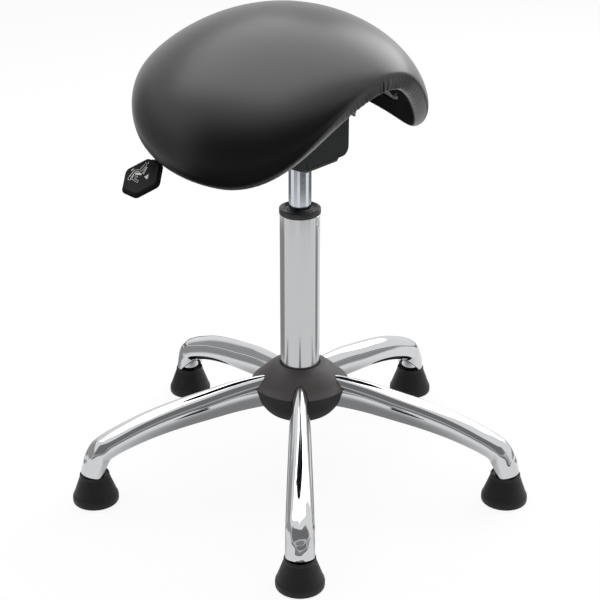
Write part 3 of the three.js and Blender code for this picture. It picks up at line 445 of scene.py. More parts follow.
# Each plain finish: what it is, what that gives the eye, and its values. Sockets are the shader's
# own, base is one colour all over, colours are the darkest and lightest of the pattern, and shades
# are those as shares of a colour that the user picks. Size is that of the pattern in millimetres,
# coarser than the real grain where that wouldn't show, and relief its height. Roughness runs from
# the first value to the second over the levels of the noise, and stretch draws the pattern out.
FINISHES = {
    # Bright chromium plate on polished steel tube: clear reflections that ripple a little with
    # the tube under the plate, and a faint haze where hands have been
    "polished_chrome": dict(sockets={"Metallic": 1.0}, base="#cecfd1", size=22, detail=1.5,
                            roughness=(0.03, 0.07), relief=0.05),
    # Chromium plate on drawn column tube: softer than on the legs, with streaks along it
    "satin_chrome": dict(sockets={"Metallic": 1.0}, base="#c0c1c2", size=3, detail=2.0,
                         stretch=(1, 1, 0.02), levels=(0, 1), roughness=(0.08, 0.16),
                         relief=0.004),
    # Ground and hard-plated gas cylinder: blue-grey metal with fine rings from the grinding
    "ground_steel": dict(sockets={"Metallic": 1.0}, base="#ced3da", size=0.8, detail=2.0,
                         stretch=(0.02, 0.02, 1), levels=(0, 1), roughness=(0.10, 0.2)),
    # Bright zinc plate on mild steel: dull grey metal with small crystals
    "zinc_plated_steel": dict(sockets={"Metallic": 1.0}, colours=("#8f9193", "#a9abad"),
                              size=2.5, roughness=(0.3, 0.5), relief=0.01),
    # Turned brass valve pin: warm metal with fine turning haze
    "turned_brass": dict(sockets={"Metallic": 1.0}, colours=("#a98d4c", "#bda25f"), size=1,
                         roughness=(0.2, 0.35)),
    # Black powder coat on steel: satin, with a fine orange peel
    "black_powder_coat": dict(sockets={"IOR": 1.5}, colours=("#161617", "#1e1e1f"), size=1.0,
                              roughness=(0.38, 0.5), relief=0.02),
    # Moulded polypropylene with a spark-eroded grain: brown-grey and nearly matt
    "moulded_hub_plastic": dict(sockets={"IOR": 1.49}, shades=(1, 1.18), size=0.6,
                                roughness=(0.46, 0.6), relief=0.03),
    # Moulded polyethylene of the glides: black satin, faintly scuffed
    "moulded_glide_plastic": dict(sockets={"IOR": 1.51, "Specular IOR Level": 0.3},
                                  shades=(1, 1.5), size=4, roughness=(0.4, 0.58), relief=0.03),
    # Moulded ABS of the paddles and casing: dark grey with a fine leather-like grain
    "moulded_grey_abs": dict(sockets={"IOR": 1.54, "Specular IOR Level": 0.1},
                             shades=(1, 1.25), size=0.9, roughness=(0.5, 0.62), relief=0.05),
    # Glass-filled nylon of the column cap and seat shell: black, semi-gloss, slightly cloudy
    "black_nylon": dict(sockets={"IOR": 1.53}, colours=("#131314", "#1c1c1e"), size=5,
                        roughness=(0.3, 0.42), relief=0.02),
    # Moulded polyurethane foam: matt, with open cells of about a millimetre; its charcoal colour is
    # painted shade that darkens the hollow under the pad
    "foam_painted_dark_as_shade": dict(sockets={"IOR": 1.4, "Roughness": 0.95},
                         colours=("#161616", "#222222"), size=1.2, relief=0.3),
    # Black rubber of the stop: dead matt
    "black_rubber": dict(sockets={"IOR": 1.52}, colours=("#0d0d0d", "#161616"), size=2,
                         roughness=(0.8, 0.95), relief=0.02),
    # Pad-printed symbol ink: opaque off-white, slightly worn
    "printed_symbol_ink": dict(sockets={"IOR": 1.5}, shades=(0.8, 1), size=1.5,
                               roughness=(0.5, 0.6)),
    # Painted floor: pale and matt, with broad faint patches
    "painted_studio_floor": dict(sockets={"Roughness": 0.95, "Specular IOR Level": 0.1},
                                 shades=(0.99, 1), size=400),
}


def feed(tree, node, inputs):
    """Gives each input of a node a value, or links it to another node's output. A node stands
    for its first output."""
    for name, value in inputs.items():
        if isinstance(value, bpy.types.Node):
            value = value.outputs[0]
        if isinstance(value, bpy.types.NodeSocket):
            tree.links.new(value, node.inputs[name])
        else:
            node.inputs[name].default_value = value


def add_node(tree, kind, settings=None, inputs=None):
    """Adds a node with its own settings and inputs."""
    node = tree.nodes.new(kind)
    for name, value in (settings or {}).items():
        setattr(node, name, value)
    feed(tree, node, inputs or {})
    return node


def start_finish(name, sockets):
    """A new material, its node tree and shader, some of whose sockets get constant values."""
    material = bpy.data.materials.new(name)
    material.use_nodes = True
    tree = material.node_tree
    shader = tree.nodes["Principled BSDF"]
    feed(tree, shader, sockets)
    return material, tree, shader


def plain_finish(name, colour=None):
    """A finish of the table, whose colour, roughness and relief follow one cloud of noise."""
    row = FINISHES[name]
    material, tree, shader = start_finish(name, row["sockets"])
    place = add_node(tree, "ShaderNodeTexCoord").outputs["Object"]
    if "stretch" in row:
        place = add_node(tree, "ShaderNodeMapping", inputs={
            "Vector": place, "Scale": row["stretch"]})
    cloud = add_node(tree, "ShaderNodeTexNoise", inputs={
        "Vector": place, "Scale": 1 / (row["size"] * MM), "Detail": row.get("detail", 3.0)})
    if "base" in row:
        feed(tree, shader, {"Base Color": (*linear(row["base"]), 1)})
    else:
        dark, light = ([linear(code) for code in row["colours"]] if "colours" in row
                       else [np.array(colour) * share for share in row["shades"]])
        tint = add_node(tree, "ShaderNodeMix", {"data_type": "RGBA"}, {
            0: cloud, 6: (*dark, 1), 7: (*light, 1)})
        feed(tree, shader, {"Base Color": tint.outputs[2]})
    if "roughness" in row:
        low, high = row.get("levels", (0.3, 0.7))
        smoothest, roughest = row["roughness"]
        feed(tree, shader, {"Roughness": add_node(tree, "ShaderNodeMapRange", inputs={
            "Value": cloud, "From Min": low, "From Max": high,
            "To Min": smoothest, "To Max": roughest})})
    if "relief" in row:
        feed(tree, shader, {"Normal": add_node(tree, "ShaderNodeBump", inputs={
            "Height": cloud, "Distance": row["relief"] * MM, "Strength": 1.0})})
    return material


def leatherette(colour, grain):
    """Polyurethane leather cloth: near-black with pebbles of about a millimetre and a half, fine
    creases between them, and a soft satin face that is glossier on top of the pebbles. The
    lining under the rim and in the hollow is as dark and matt."""
    m = LEATHERETTE
    material, tree, shader = start_finish("black_leatherette", {"IOR": 1.55})
    place = add_node(tree, "ShaderNodeTexCoord").outputs["Object"]
    pebbles = add_node(tree, "ShaderNodeTexVoronoi", {"feature": "DISTANCE_TO_EDGE"}, {
        "Vector": place, "Scale": 1 / grain})
    face = add_node(tree, "ShaderNodeMapRange", inputs={
        "Value": pebbles, "From Max": m["crease"]})
    cloud = add_node(tree, "ShaderNodeTexNoise", inputs={
        "Vector": place, "Scale": 1 / (m["patches"] * MM), "Detail": 4.0})
    tint = add_node(tree, "ShaderNodeMix", {"data_type": "RGBA"}, {
        0: cloud, 6: (*colour, 1), 7: (*(np.array(colour) * m["light"]), 1)})
    sheen = add_node(tree, "ShaderNodeMapRange", inputs={
        "Value": face, "To Min": m["roughness"][0], "To Max": m["roughness"][1]})
    lining = add_node(tree, "ShaderNodeAttribute", {"attribute_name": "lining"}).outputs["Fac"]
    feed(tree, shader, {
        "Base Color": tint.outputs[2],
        "Roughness": add_node(tree, "ShaderNodeMath", {"operation": "MAXIMUM"}, {
            0: sheen, 1: lining}),
        "Specular IOR Level": add_node(tree, "ShaderNodeMapRange", inputs={
            "Value": lining, "To Min": m["shine"][0], "To Max": m["shine"][1]}),
        "Normal": add_node(tree, "ShaderNodeBump", inputs={
            "Height": face, "Distance": m["relief"] * MM, "Strength": 1.0})})
    return material


def studio_floor(colour):
    """The painted floor. The camera, metal and glass see it nearly white, with a faint shadow;
    the light it throws back up is that of a greyer floor."""
    material = plain_finish("painted_studio_floor", colour)
    tree = material.node_tree
    ray = add_node(tree, "ShaderNodeLightPath")
    glow = add_node(tree, "ShaderNodeEmission", inputs={"Color": WHITE, "Strength": 1.0})
    grey = add_node(tree, "ShaderNodeBsdfDiffuse", inputs={"Color": FLOOR["bounce"]})
    lifted = add_node(tree, "ShaderNodeMixShader", inputs={
        0: FLOOR["glow"], 1: tree.nodes["Principled BSDF"], 2: glow})
    feed(tree, tree.nodes["Material Output"], {
        "Surface": add_node(tree, "ShaderNodeMixShader", inputs={
            0: ray.outputs["Is Diffuse Ray"], 1: lifted, 2: grey})})
    return material


def flag_cloth(name, brightness, fade):
    """Cloth of a studio flag that gloss sees as dark in the middle and that fades to the white
    of the studio at its edges. The place comes from the flag's own map from nought to one."""
    material, tree, _ = start_finish(name, {"Roughness": 1.0})
    place = add_node(tree, "ShaderNodeTexCoord").outputs["UV"]
    parts = add_node(tree, "ShaderNodeSeparateXYZ", inputs={0: place})
    sides = []
    for part in (parts.outputs[0], parts.outputs[1]):
        middle = add_node(tree, "ShaderNodeMath", {"operation": "SUBTRACT"}, {0: part, 1: 0.5})
        away = add_node(tree, "ShaderNodeMath", {"operation": "ABSOLUTE"}, {0: middle})
        sides.append(add_node(tree, "ShaderNodeMapRange", {"interpolation_type": "SMOOTHSTEP"}, {
            "Value": away, "From Min": 0.5, "From Max": 0.5 - fade}))
    cover = add_node(tree, "ShaderNodeMath", {"operation": "MULTIPLY"}, {
        0: sides[0], 1: sides[1]})
    cloth = add_node(tree, "ShaderNodeEmission", inputs={"Color": WHITE, "Strength": brightness})
    clear = add_node(tree, "ShaderNodeBsdfTransparent")
    feed(tree, tree.nodes["Material Output"], {
        "Surface": add_node(tree, "ShaderNodeMixShader", inputs={0: cover, 1: clear, 2: cloth})})
    return material


# Saddle

def by_station(values, ahead):
    """Parabola through a rear, middle and front value at a distance ahead of the column."""
    rear, middle, front = values
    a, b = SADDLE["ahead"], SADDLE["behind"]
    bend = ((front - middle) / a - (middle - rear) / b) / (a + b)
    slope = (middle - rear) / b + bend * b
    return middle + slope * ahead + bend * ahead ** 2


def saddle_middle(along, across):
    """Middle surface of the pad. Each station is an arch whose width is the sine of an angle and
    whose drop is one less its cosine; the crown falls to the front by a cubic."""
    s = SADDLE
    angle = across * s["arch"]
    dip = (1 - np.cos(angle)) / (1 - np.cos(s["arch"]))
    front = s["front"] - s["front_sweep"] * dip
    rear = -s["rear"] + s["rear_sweep"] * dip
    ahead = (front + rear) / 2 + along * (front - rear) / 2
    q = ahead / s["behind"]
    crown = s["crown"] - s["fall"] * q - s["bend"] * q ** 2 + s["rise"] * q ** 3
    return np.stack([by_station(HALF_WIDTH, ahead) * np.sin(angle) / np.sin(s["arch"]),
                     -ahead, crown - by_station(DROP, ahead) * dip], -1)


def saddle_normal(along, across, step=1e-3):
    """Unit normal of the middle surface, up and out, from differences to both sides."""
    lengthwise = saddle_middle(along + step, across) - saddle_middle(along - step, across)
    crosswise = saddle_middle(along, across + step) - saddle_middle(along, across - step)
    return unit(np.cross(lengthwise, crosswise))


def saddle_layer(turn, angle, depth=0.0, lift=0.0):
    """Points of a layer of the pad. The turn runs from the middle of the top, over the rim at a
    right angle, to the middle underneath; the share of the way out is its sine and the swell
    its cosine, both to the power 2 over the rim's roundness. The angle goes round the outline,
    a superellipse that is squarer in front; depth lies inside the cover, lift off that side."""
    s = SADDLE
    turn, angle = np.broadcast_arrays(turn, angle)
    power = 2 / s["round"]
    share = np.abs(np.sin(turn)) ** power
    swell = np.sign(np.cos(turn)) * np.abs(np.cos(turn)) ** power
    c, a = np.cos(angle), np.sin(angle)
    corner = np.where(c > 0, s["front_corner"], s["rear_corner"])
    reach = (np.abs(c) ** corner + np.abs(a) ** corner) ** (-1 / corner)
    share = share - front_window(angle) * beyond_wall(share, swell, a)
    drawn = share * reach * (1 - depth / s["rim"])
    along, across = drawn * c, drawn * a
    offset = (s["thickness"] / 2 - depth) * swell + lift
    return saddle_middle(along, across) + saddle_normal(along, across) * offset[..., None]


def front_window(angle):
    """How far an angle of the outline belongs to the front edge, from nought to one."""
    return smooth(np.cos(angle), *FRONT_WALL["window"])


def beyond_wall(share, swell, side):
    """How far a round rim stands out past a flat front wall, a straight line from one share of
    the way out at the top to another at the bottom; a logarithm of an exponential rounds the
    crease, more so towards the sides."""
    w = FRONT_WALL
    soft = w["soft"] + w["corner_soft"] * smooth(np.abs(side), *w["corner"])
    line = w["upper"] + (w["lower"] - w["upper"]) * (1 - swell) / 2
    return soft * np.logaddexp(0, (share - line) / soft) * smooth(share, *w["fade"])


def rim_angles(count):
    """Angles round the outline that are evenly spaced along the rim, what share of the rim lies
    before each, and the rim's length."""
    dense = np.linspace(0, 2 * pi, 6001)
    rim = saddle_layer(pi / 2, dense)
    run = np.concatenate([[0], np.cumsum(np.linalg.norm(np.diff(rim, axis=0), axis=1))])
    share = np.arange(count) / count
    return np.interp(share * run[-1], run, dense), share, run[-1]


def turn_at(share, under=False):
    """The turn at which a layer is a share of the way out, on top or underneath."""
    turn = np.arcsin(share ** (SADDLE["round"] / 2))
    return pi - turn if under else turn


def beats(share, waves):
    """Sum of sines of a share of the way round, each with its size, number of beats and start."""
    return sum(size * np.sin(2 * pi * count * share + start) for size, count, start in waves)


def gathers(turn, angle, share, length, pitch, depth):
    """Height of the puckers over the smooth cover. Round the rim they are ridges with sharp
    valleys, the root of the size of a sine whose beat wanders; they grow towards the edge
    underneath and are strongest where the cover is pulled over the front of the arch."""
    g, side = GATHERS, np.sin(angle)
    wave = np.sin(pi * share * length / pitch + beats(share, g["wander"]))
    ridge = np.abs(wave) ** g["sharpness"] - g["level"]
    front = (front_window(angle) * (1 - g["corner_loss"] * smooth(np.abs(side), *g["corner"]))
             * (1 - g["far_loss"] * smooth(side, *g["far"])))
    strength = g["least"] + (1 - g["least"]) * front
    start = g["start"] + beats(share, g["edge"])
    return (depth * strength * ridge * (g["mean"] + beats(share, g["uneven"]))
            * smooth(turn, start, start + g["grow"]))


def cover_surface(pitch, depth):
    """The cover: the outside from the middle of the top, round the rim to its edge underneath,
    and back along the inside a cover's thickness deeper. Its points come with how far each is
    lining, which begins a little way in under the rim."""
    c = COVER
    angle, share, length = rim_angles(c["around"])
    edge = turn_at(c["under"], under=True)
    outer = np.concatenate([np.linspace(0, c["shoulder"], c["top"], endpoint=False),
                            np.linspace(c["shoulder"], edge, c["rim"])])[:, None]
    outside = saddle_layer(outer, angle)
    normal = unit(np.cross(np.gradient(outside, axis=0),
                           np.roll(outside, -1, 1) - np.roll(outside, 1, 1)))
    out = np.sign(np.sum(normal * (outside - outside.mean((0, 1)))))
    height = gathers(outer, angle, share, length, pitch, depth)
    outside = outside + out * normal * height[..., None]
    inside = saddle_layer(np.linspace(edge, 0, c["inside"])[:, None], angle, SADDLE["cover"])
    lining = np.concatenate([
        smooth(outer - c["lining_front"] * front_window(angle), *c["lining"]),
        np.ones((c["inside"], c["around"]))])
    return loft(np.concatenate([outside, inside])), lining.ravel()


def foam_surface():
    """The pad inside the cover, hollowed underneath where the shell sits."""
    f, depth = FOAM, SADDLE["cover"] + GAP
    angle = rim_angles(f["around"])[0]
    edge = turn_at(f["under"], under=True)
    outside = saddle_layer(np.linspace(0, edge, f["outside"])[:, None], angle, depth)
    inside = saddle_layer(np.linspace(edge, pi, f["inside"])[:, None], angle, depth,
                          SADDLE["shell"] + GAP)
    return loft(np.concatenate([outside, inside]))


# Legs and feet

def leg_skin(shares, inset, sides):
    """Oval rings of the leg along X at shares of its length, drawn in by an inset. Each ring is
    an ellipse square to the centre line, deep upwards and wide sideways, with the faint ripples
    that bending leaves, a sum of sines of the angle and of the share, and the flat oval that
    the press leaves outside the bend."""
    stops = np.stack([LEG_SHARES[:, 0] * GLIDE_CIRCLE, LEG_SHARES[:, 1] * LEG["height"]], -1)
    sizes = np.stack([LEG_SHARES[:, 2] * LEG["depth"], LEG_SHARES[:, 3] * LEG["width"]], -1)
    shares = np.asarray(shares, float)
    centre, size = through(stops, shares), through(sizes, shares)
    step = 1e-4
    slope = unit(through(stops, np.minimum(shares + step, 1)) - through(stops, shares - step))
    angle = np.broadcast_to(np.arange(sides) * 2 * pi / sides, (len(shares), sides))
    if shares.ndim == 1:
        centre, size, slope = centre[:, None], size[:, None], slope[:, None]
        shares = shares[:, None]
    r, m = RIPPLES, PRESS_MARK
    waves = sum(high * np.sin(count * angle + twist * shares) for high, count, twist in r["waves"])
    ripple = r["size"] * smooth(shares, *r["rise"]) * smooth(shares, *r["fall"]) * waves
    oval = np.hypot((shares - m["place"]) / m["length"], np.sin(angle) / m["width"])
    press = m["depth"] * smooth(oval, 1.0, m["flat"]) * (np.cos(angle) > 0)
    deep, wide = size[..., 0] / 2 - inset + ripple - press, size[..., 1] / 2 - inset + ripple
    up = deep * np.cos(angle)
    return np.stack([centre[..., 0] - slope[..., 1] * up, wide * np.sin(angle),
                     centre[..., 1] + slope[..., 0] * up], -1)


def leg_rings(inset, rows, sides, free=0.8):
    """Rings from the hub to the cut at the foot. Each line along the tube stops where it meets
    the cut, which is flat under the foot and slopes up on the inner side; up to a free share of
    the way the rings stay square to the tube."""
    dense = np.linspace(0, 1, 1601)
    skin = leg_skin(dense, inset, sides)
    foot = GLIDE["height"] + GAP
    inward = np.maximum(0, GLIDE_CIRCLE - LEG["inset"] - skin[..., 0])
    over = skin[..., 2] - foot - LEG["slope"] * np.minimum(inward, LEG["width"] / 2)
    past = over < 0
    stop = np.where(past.any(0), np.argmax(past, 0), len(dense) - 1)
    column = np.arange(sides)
    before, after = over[np.maximum(stop - 1, 0), column], over[stop, column]
    part = np.where(past.any(0), before / np.where(before == after, 1, before - after), 1)
    end = (np.maximum(stop - 1, 0) + part) / (len(dense) - 1)
    spread = np.linspace(0, 1, rows)[:, None]
    shares = np.where(spread < free, spread,
                      free + (spread - free) / (1 - free) * (np.minimum(end, 1) - free))
    return leg_skin(shares, inset, sides)


def leg_surface():
    """The whole leg tube: outer skin to the foot and inner skin back to the hub."""
    outer = leg_rings(0, LEG["outer_rings"], LEG["sides"])
    inner = leg_rings(LEG["wall"], LEG["inner_rings"], LEG["sides"])
    return loft(np.concatenate([outer, inner[::-1]]), closed=True)


def leg_cutters(clearance):
    """The inner ends of the legs as closed ovals, let out by a clearance, to cut their slots."""
    shares = np.linspace(0, LEG_SLOTS["reach"], LEG_SLOTS["rings"])
    one = capped(leg_skin(shares, -clearance, LEG_SLOTS["sides"]))
    return together(*(turned(one, angle) for angle in LEG_ANGLES))


def glide_surface():
    """The glide: a cone with a rolled band round the foot, a lip and dish on top, a hollow heel
    and the bore for its stem."""
    g = GLIDE
    bore, dish, lip = STEM["radius"] + GAP, g["height"] - g["dish"], g["top"] - g["lip"]
    return revolve(profile([
        (0, g["heel_depth"], 0), (g["heel"], g["heel_depth"], 0.4),
        (g["heel"] + g["heel_depth"], 0, 0.4), (g["foot"], 0, 3.2),
        (g["foot"], g["band"] * 0.72, 2), (g["foot"] - g["taper"], g["band"], 0.8),
        (g["foot"] - 1.3, g["band"] + 0.9, 1.2), (g["top"] + 0.2, g["height"] - 3.6, 0.8),
        (g["top"] + 0.5, g["height"] - 2.6, 0.8), (g["top"], g["height"], 0.8),
        (lip, g["height"], 0.5), (lip, dish, 0.4), (bore, dish, 0.3), (bore, STEM["seat"], 0),
        (0, STEM["seat"], 0)]), SIDES["glide"], closed=False)


def sleeve_surface():
    """The turned bush welded into the end of a leg."""
    low = GLIDE["height"] + GAP
    outline = oblong((STEM["radius"] + 2 * GAP, low),
                     (SLEEVE["radius"], low + SLEEVE["length"]), SLEEVE["edge"])
    return revolve(outline, SIDES["sleeve"])


# Hub and column

def dome_surface():
    """The upper half of the hub cover, before its slots: a curve through shares of its spread
    and rise, a short upright skirt, and the inside a wall deeper, which leaves out the first
    rings under the collar. The collar and skirt end in small roundings."""
    h = HUB
    rim, collar, foot = h["rim"], h["collar"], h["parting"] + GAP
    spread, rise = rim - h["collar_radius"], collar - h["rim_high"]
    curve = through(DOME_SHARES, np.linspace(0, 1, h["dome_rings"])) * (spread, rise) + (
        h["collar_radius"], h["rim_high"])
    bore = TUBE["radius"] + 2 * GAP
    edge = [(bore, collar - 3), (bore, collar - 0.8), (bore + 0.5, collar - 0.1)]
    skirt = [(rim - 0.2, foot + 1), (rim - 0.8, foot + 0.3), (rim - 1.6, foot),
             (rim - h["wall"] - h["overhang"], foot)]
    inside = curve[h["collar_rings"]:][::-1] - h["wall"]
    return revolve(np.vstack([edge, curve, skirt, inside, [(bore, collar - 4.8)]]), SIDES["hub"])


def bowl_surface():
    """The lower half of the hub cover: a curve through shares of its spread and rise, the inside
    a wall deeper, and the rim set in so that the upper half overhangs it."""
    h = HUB
    rim, parting, low = h["rim"] - h["overhang"], h["parting"], h["bowl_low"]
    spread, rise = rim - h["bowl_radius"], h["rim_low"] - low
    curve = through(BOWL_SHARES, np.linspace(0, 1, h["bowl_rings"])) * (spread, rise) + (
        h["bowl_radius"], low)
    top = [(rim, parting - 0.6), (rim - 0.5, parting), (rim - h["wall"], parting)]
    inside = curve[::-1] + (-h["wall"], h["wall"])
    lip = [(h["lip"], low + h["wall"]), (h["lip"], low)]
    return revolve(np.vstack([curve, top, inside, lip]), SIDES["hub"])


def tube_surface(dimple):
    """The outer tube with its taper, and the dimple that holds the bush: a round bell-shaped
    dent, the exponential of less the square of the distance over twice that of its width."""
    t, d = TUBE, DIMPLE
    radius, bottom, floor = t["radius"], t["bottom"], t["bottom"] + t["lip"]
    inner, low, bore = radius - t["wall"], radius - t["taper"], ROD_RADIUS + GAP
    heights = np.linspace(t["taper_top"], t["top"] - t["mouth"], t["rings"])
    outer = np.stack([np.full_like(heights, radius), heights], -1)
    foot = [(bore, floor), (bore, bottom), (low - t["edge"], bottom), (low, bottom + t["edge"])]
    head = [(radius - 0.5, t["top"]), (inner, t["top"])]
    inside = [(inner, t["taper_top"]), (low - t["wall"], floor)]

    def dent(angle, height):
        run = (np.mod(angle - d["angle"] + pi, 2 * pi) - pi) * radius
        away = run ** 2 + (height - d["height"]) ** 2
        return -dimple * np.exp(-away / (2 * d["width"] ** 2))

    return revolve(np.vstack([foot, outer, head, inside]), SIDES["tube"], bump=dent)


def bush_surface():
    """The guide bush: a sleeve in the tube with a rounded cap, a raised rim and a shallow
    well round the cylinder."""
    b, t = BUSH, TUBE
    bore, inner = CYLINDER["radius"] + GAP, t["radius"] - t["wall"] - GAP
    low, seat, high = t["top"] - b["length"], t["top"] + GAP, b["top"]
    return revolve(profile([
        (bore, low, 0.5), (inner, low, 0.5), (inner, seat, 0.2), (b["radius"], seat, 0.8),
        (b["radius"], high, 2.4), (b["radius"] - b["inset"], high, 1.0),
        (b["radius"] - b["inset"] - b["drop"], high - b["well"], 0.8),
        (bore + 2.2, high - b["well"], 0.3), (bore + 1.6, high - 0.9, 0.3),
        (bore, high - 0.9, 0.3)]), SIDES["column"])


def cylinder_surface():
    """The gas cylinder: rod bore and hollow inside, taper and valve bore on top."""
    c = CYLINDER
    hollow, floor = c["radius"] - c["wall"], c["bottom"] + c["cap"]
    bore, valve = ROD_RADIUS + GAP, PIN_RADIUS + GAP
    return revolve(profile([
        (0, c["hollow_top"], 0), (hollow, c["hollow_top"], 0), (hollow, floor, 0),
        (bore, floor, 0), (bore, c["bottom"], 0.3), (c["radius"], c["bottom"], 1.2),
        (c["radius"], c["top"] - c["taper_length"], 0), (c["radius"] - c["taper"], c["top"], 1.2),
        (valve, c["top"], 0.3), (valve, PIN_LOW - valve, 0), (0, PIN_LOW - valve, 0)]),
        SIDES["column"], closed=False)


# Levers

def paddle_axes(side):
    """Unit vectors out along a paddle, across it and up from its face."""
    sweep, droop, roll = (radians(PADDLE[k]) for k in ("sweep", "droop", "roll"))
    out = np.array([side * np.cos(droop) * np.cos(sweep), np.cos(droop) * np.sin(sweep),
                    -np.sin(droop)])
    across = unit(np.cross((0, 0, 1), out))
    up = np.cross(out, across)
    tilt = side * roll
    return np.array([out, across * np.cos(tilt) + up * np.sin(tilt),
                     up * np.cos(tilt) - across * np.sin(tilt)])


def lever_bar(side, start, place, centre):
    """A lever's round bar: straight along its shaft, cranked back, then down into the paddle's
    socket."""
    out = paddle_axes(side)[0]
    inner = np.array(centre) - out * PADDLE["length"] / 2
    neck, end = inner - out * LEVER["lap"], inner + out * (PADDLE["socket_length"] - GAP)
    first, leave = np.array([side * start, *place]), np.array([side * LEVER["exit"], *place])
    stops = [first, first + (leave - first) * 0.4, first + (leave - first) * 0.8, leave,
             (leave + neck) / 2, neck, inner, end]
    path = through(stops, np.linspace(0, 1, LEVER["rings"]))
    return along_path(path, LEVER["radius"], SIDES["bar"], (0, 1, 0))


def tilt_lever_surface():
    """The near lever: its bar, and the hub that turns on the clamp bolt."""
    v = LEVER
    near, far = v["shaft"], v["shaft"] + v["hub_length"]
    hub = revolve(oblong((v["bolt"] + GAP, near), (v["hub_radius"], far), v["edge"]),
                  SIDES["lever_hub"])
    return together(lever_bar(-1, far - 1, CLAMP, TILT_PADDLE),
                    placed(hub, (0, *CLAMP), NEAR_AXES))


def height_lever_surface():
    """The far lever: its bar, and the tab that presses the valve pin."""
    half, (y, _) = TAB["width"] / 2, VALVE
    tab = prism(oblong((-half, y - TAB["reach"]), (half, y), 1.0),
                TAB["low"], TAB["low"] + TAB["thickness"])
    return together(lever_bar(1, -half, VALVE, VALVE_PADDLE), tab)


def paddle_ring(inset, radius, height, steps=6):
    """The paddle's outline drawn in by an inset, each corner an arc of a radius."""
    half, wide, end = (PADDLE[k] / 2 for k in ("length", "width", "end"))
    flat = PADDLE["corner"] / 2
    corners = np.array([(-half, -end), (-flat, -wide), (flat, -wide), (half, -end),
                        (half, end), (flat, wide), (-flat, wide), (-half, end)])
    edge = unit(np.roll(corners, -1, 0) - corners)
    after = np.stack([edge[:, 1], -edge[:, 0]], -1)
    before = np.roll(after, 1, 0)
    pull = (before + after) / (1 + np.sum(before * after, 1, keepdims=True))
    centre = corners - pull * (inset + radius)
    t = np.linspace(0, 1, steps)[None, :, None]
    swing = unit(before[:, None] * (1 - t) + after[:, None] * t)
    return at_height((centre[:, None] + swing * radius).reshape(-1, 2), height)


def paddle_surface():
    """The paddle lying along X: a lower half with the full outline, a dark groove where the
    halves meet, and an upper half that rolls over to a face that sinks to the middle by the
    square of the distance."""
    rings = [paddle_ring(*row) for row in PADDLE_RINGS]
    sunk = [rings[-1] * (t, t, 1) - (0, 0, PADDLE["dish"] * (1 - t * t))
            for t in np.linspace(0.92, 0, 10)]
    return loft([rings[0] * (0, 0, 1), *rings, *sunk])


def socket_surface():
    """The sleeve under the paddle's root that takes the lever."""
    p, bore = PADDLE, LEVER["radius"] + GAP
    start, end = -p["length"] / 2, p["socket_length"] + 1.2 - p["length"] / 2
    sleeve = revolve(profile([(bore, start, 0.4), (p["socket_radius"], start, 1.2),
                              (p["socket_radius"], end, 3), (bore, end, 0.3)]),
                     SIDES["socket"])
    points, faces = placed(sleeve, (0, 0, 0), FAR_AXES)
    return np.minimum(points, (np.inf, np.inf, p["thickness"] - 1.4)), faces


def stroke(points):
    """A raised line of ink through points: a flat ribbon, square at its ends, whose sides follow
    the mean of the directions beside each point."""
    line = np.asarray(points, float)
    step = unit(np.diff(line, axis=0))
    mean = unit(np.vstack([step[:1], step[:-1] + step[1:], step[-1:]]))
    side = np.stack([-mean[:, 1], mean[:, 0]], -1) * INK["line"] / 2
    return capped(np.stack([at_height(line + side * sign, height) for sign, height in (
        (1, 0), (-1, 0), (-1, INK["height"]), (1, INK["height"]))], 1))


def symbol_surface():
    """The tilt symbol on the near paddle: a seated figure in two lines, the cushion it sits on,
    its foot, and an arrowhead before and behind. Places are along and across the paddle."""
    ring = np.linspace(0, 2 * pi, 17)
    head = np.stack([-19.2 + 1.9 * np.cos(ring), -6.3 + 1.7 * np.sin(ring)], -1)
    strip = [[(u, -4.4 + 0.23 * (u + 13.6)), (u + 0.1, -2.1 + 0.18 * (u + 13.6))]
             for u in np.linspace(-13.4, -4.0, 8)]
    lines = [head, *strip,
             [(-16.1, -7.4), (-12.1, -7.8), (-7.3, -7.9), (-4.1, -12.6), (-1.9, -13.3),
              (8.8, -13.1), (11.1, -11.9), (10.3, -8.5)],
             [(-16.2, -4.3), (-11.7, -4.9), (-7.3, -4.9), (-6.2, -5.4), (-3.0, -10.1),
              (-0.8, -10.9), (7.9, -10.3), (9.7, -9.3)],
             [(2.2, -10.0), (4.3, -9.5), (8.5, -8.3), (10.0, 0.6), (7.1, 0.3), (6.9, -4.6),
              (5.5, -5.9), (4.5, -3.8), (2.0, -4.5), (3.3, -8.6)],
             [(-13.9, -2.0), (-3.4, -0.2)]]
    shapes = [[(0.2, -10.3), (-2.8, -7.1), (-3.6, -2.6), (-1.1, -1.6), (-0.1, -5.1), (1.2, -8.2)],
              [(-6.1, -18.5), (-7.8, -15.1), (-4.1, -14.9), (-0.7, -15.8)],
              [(-6.9, 4.9), (-1.4, 7.9), (1.0, 7.8), (-1.0, 2.9), (-4.4, 4.7)]]
    return together(*(stroke(line) for line in lines),
                    *(prism(shape, 0, INK["height"]) for shape in shapes))


def casing_ring(inset, height):
    """Outline of the casing seen from above at a height: its sides draw in towards the bottom
    along a quarter of a circle, and the upright edges are rounded."""
    c = CASING
    rise = np.clip((c["low"] + c["round"] - height) / (c["round"] - inset), 0, 1)
    wide = c["half"] - inset - (c["round"] - inset) * (1 - np.sqrt(1 - rise ** 2))
    return at_height(oblong((-wide, c["front"] + inset), (wide, c["rear"] - inset),
                            c["corners"], 6), height)


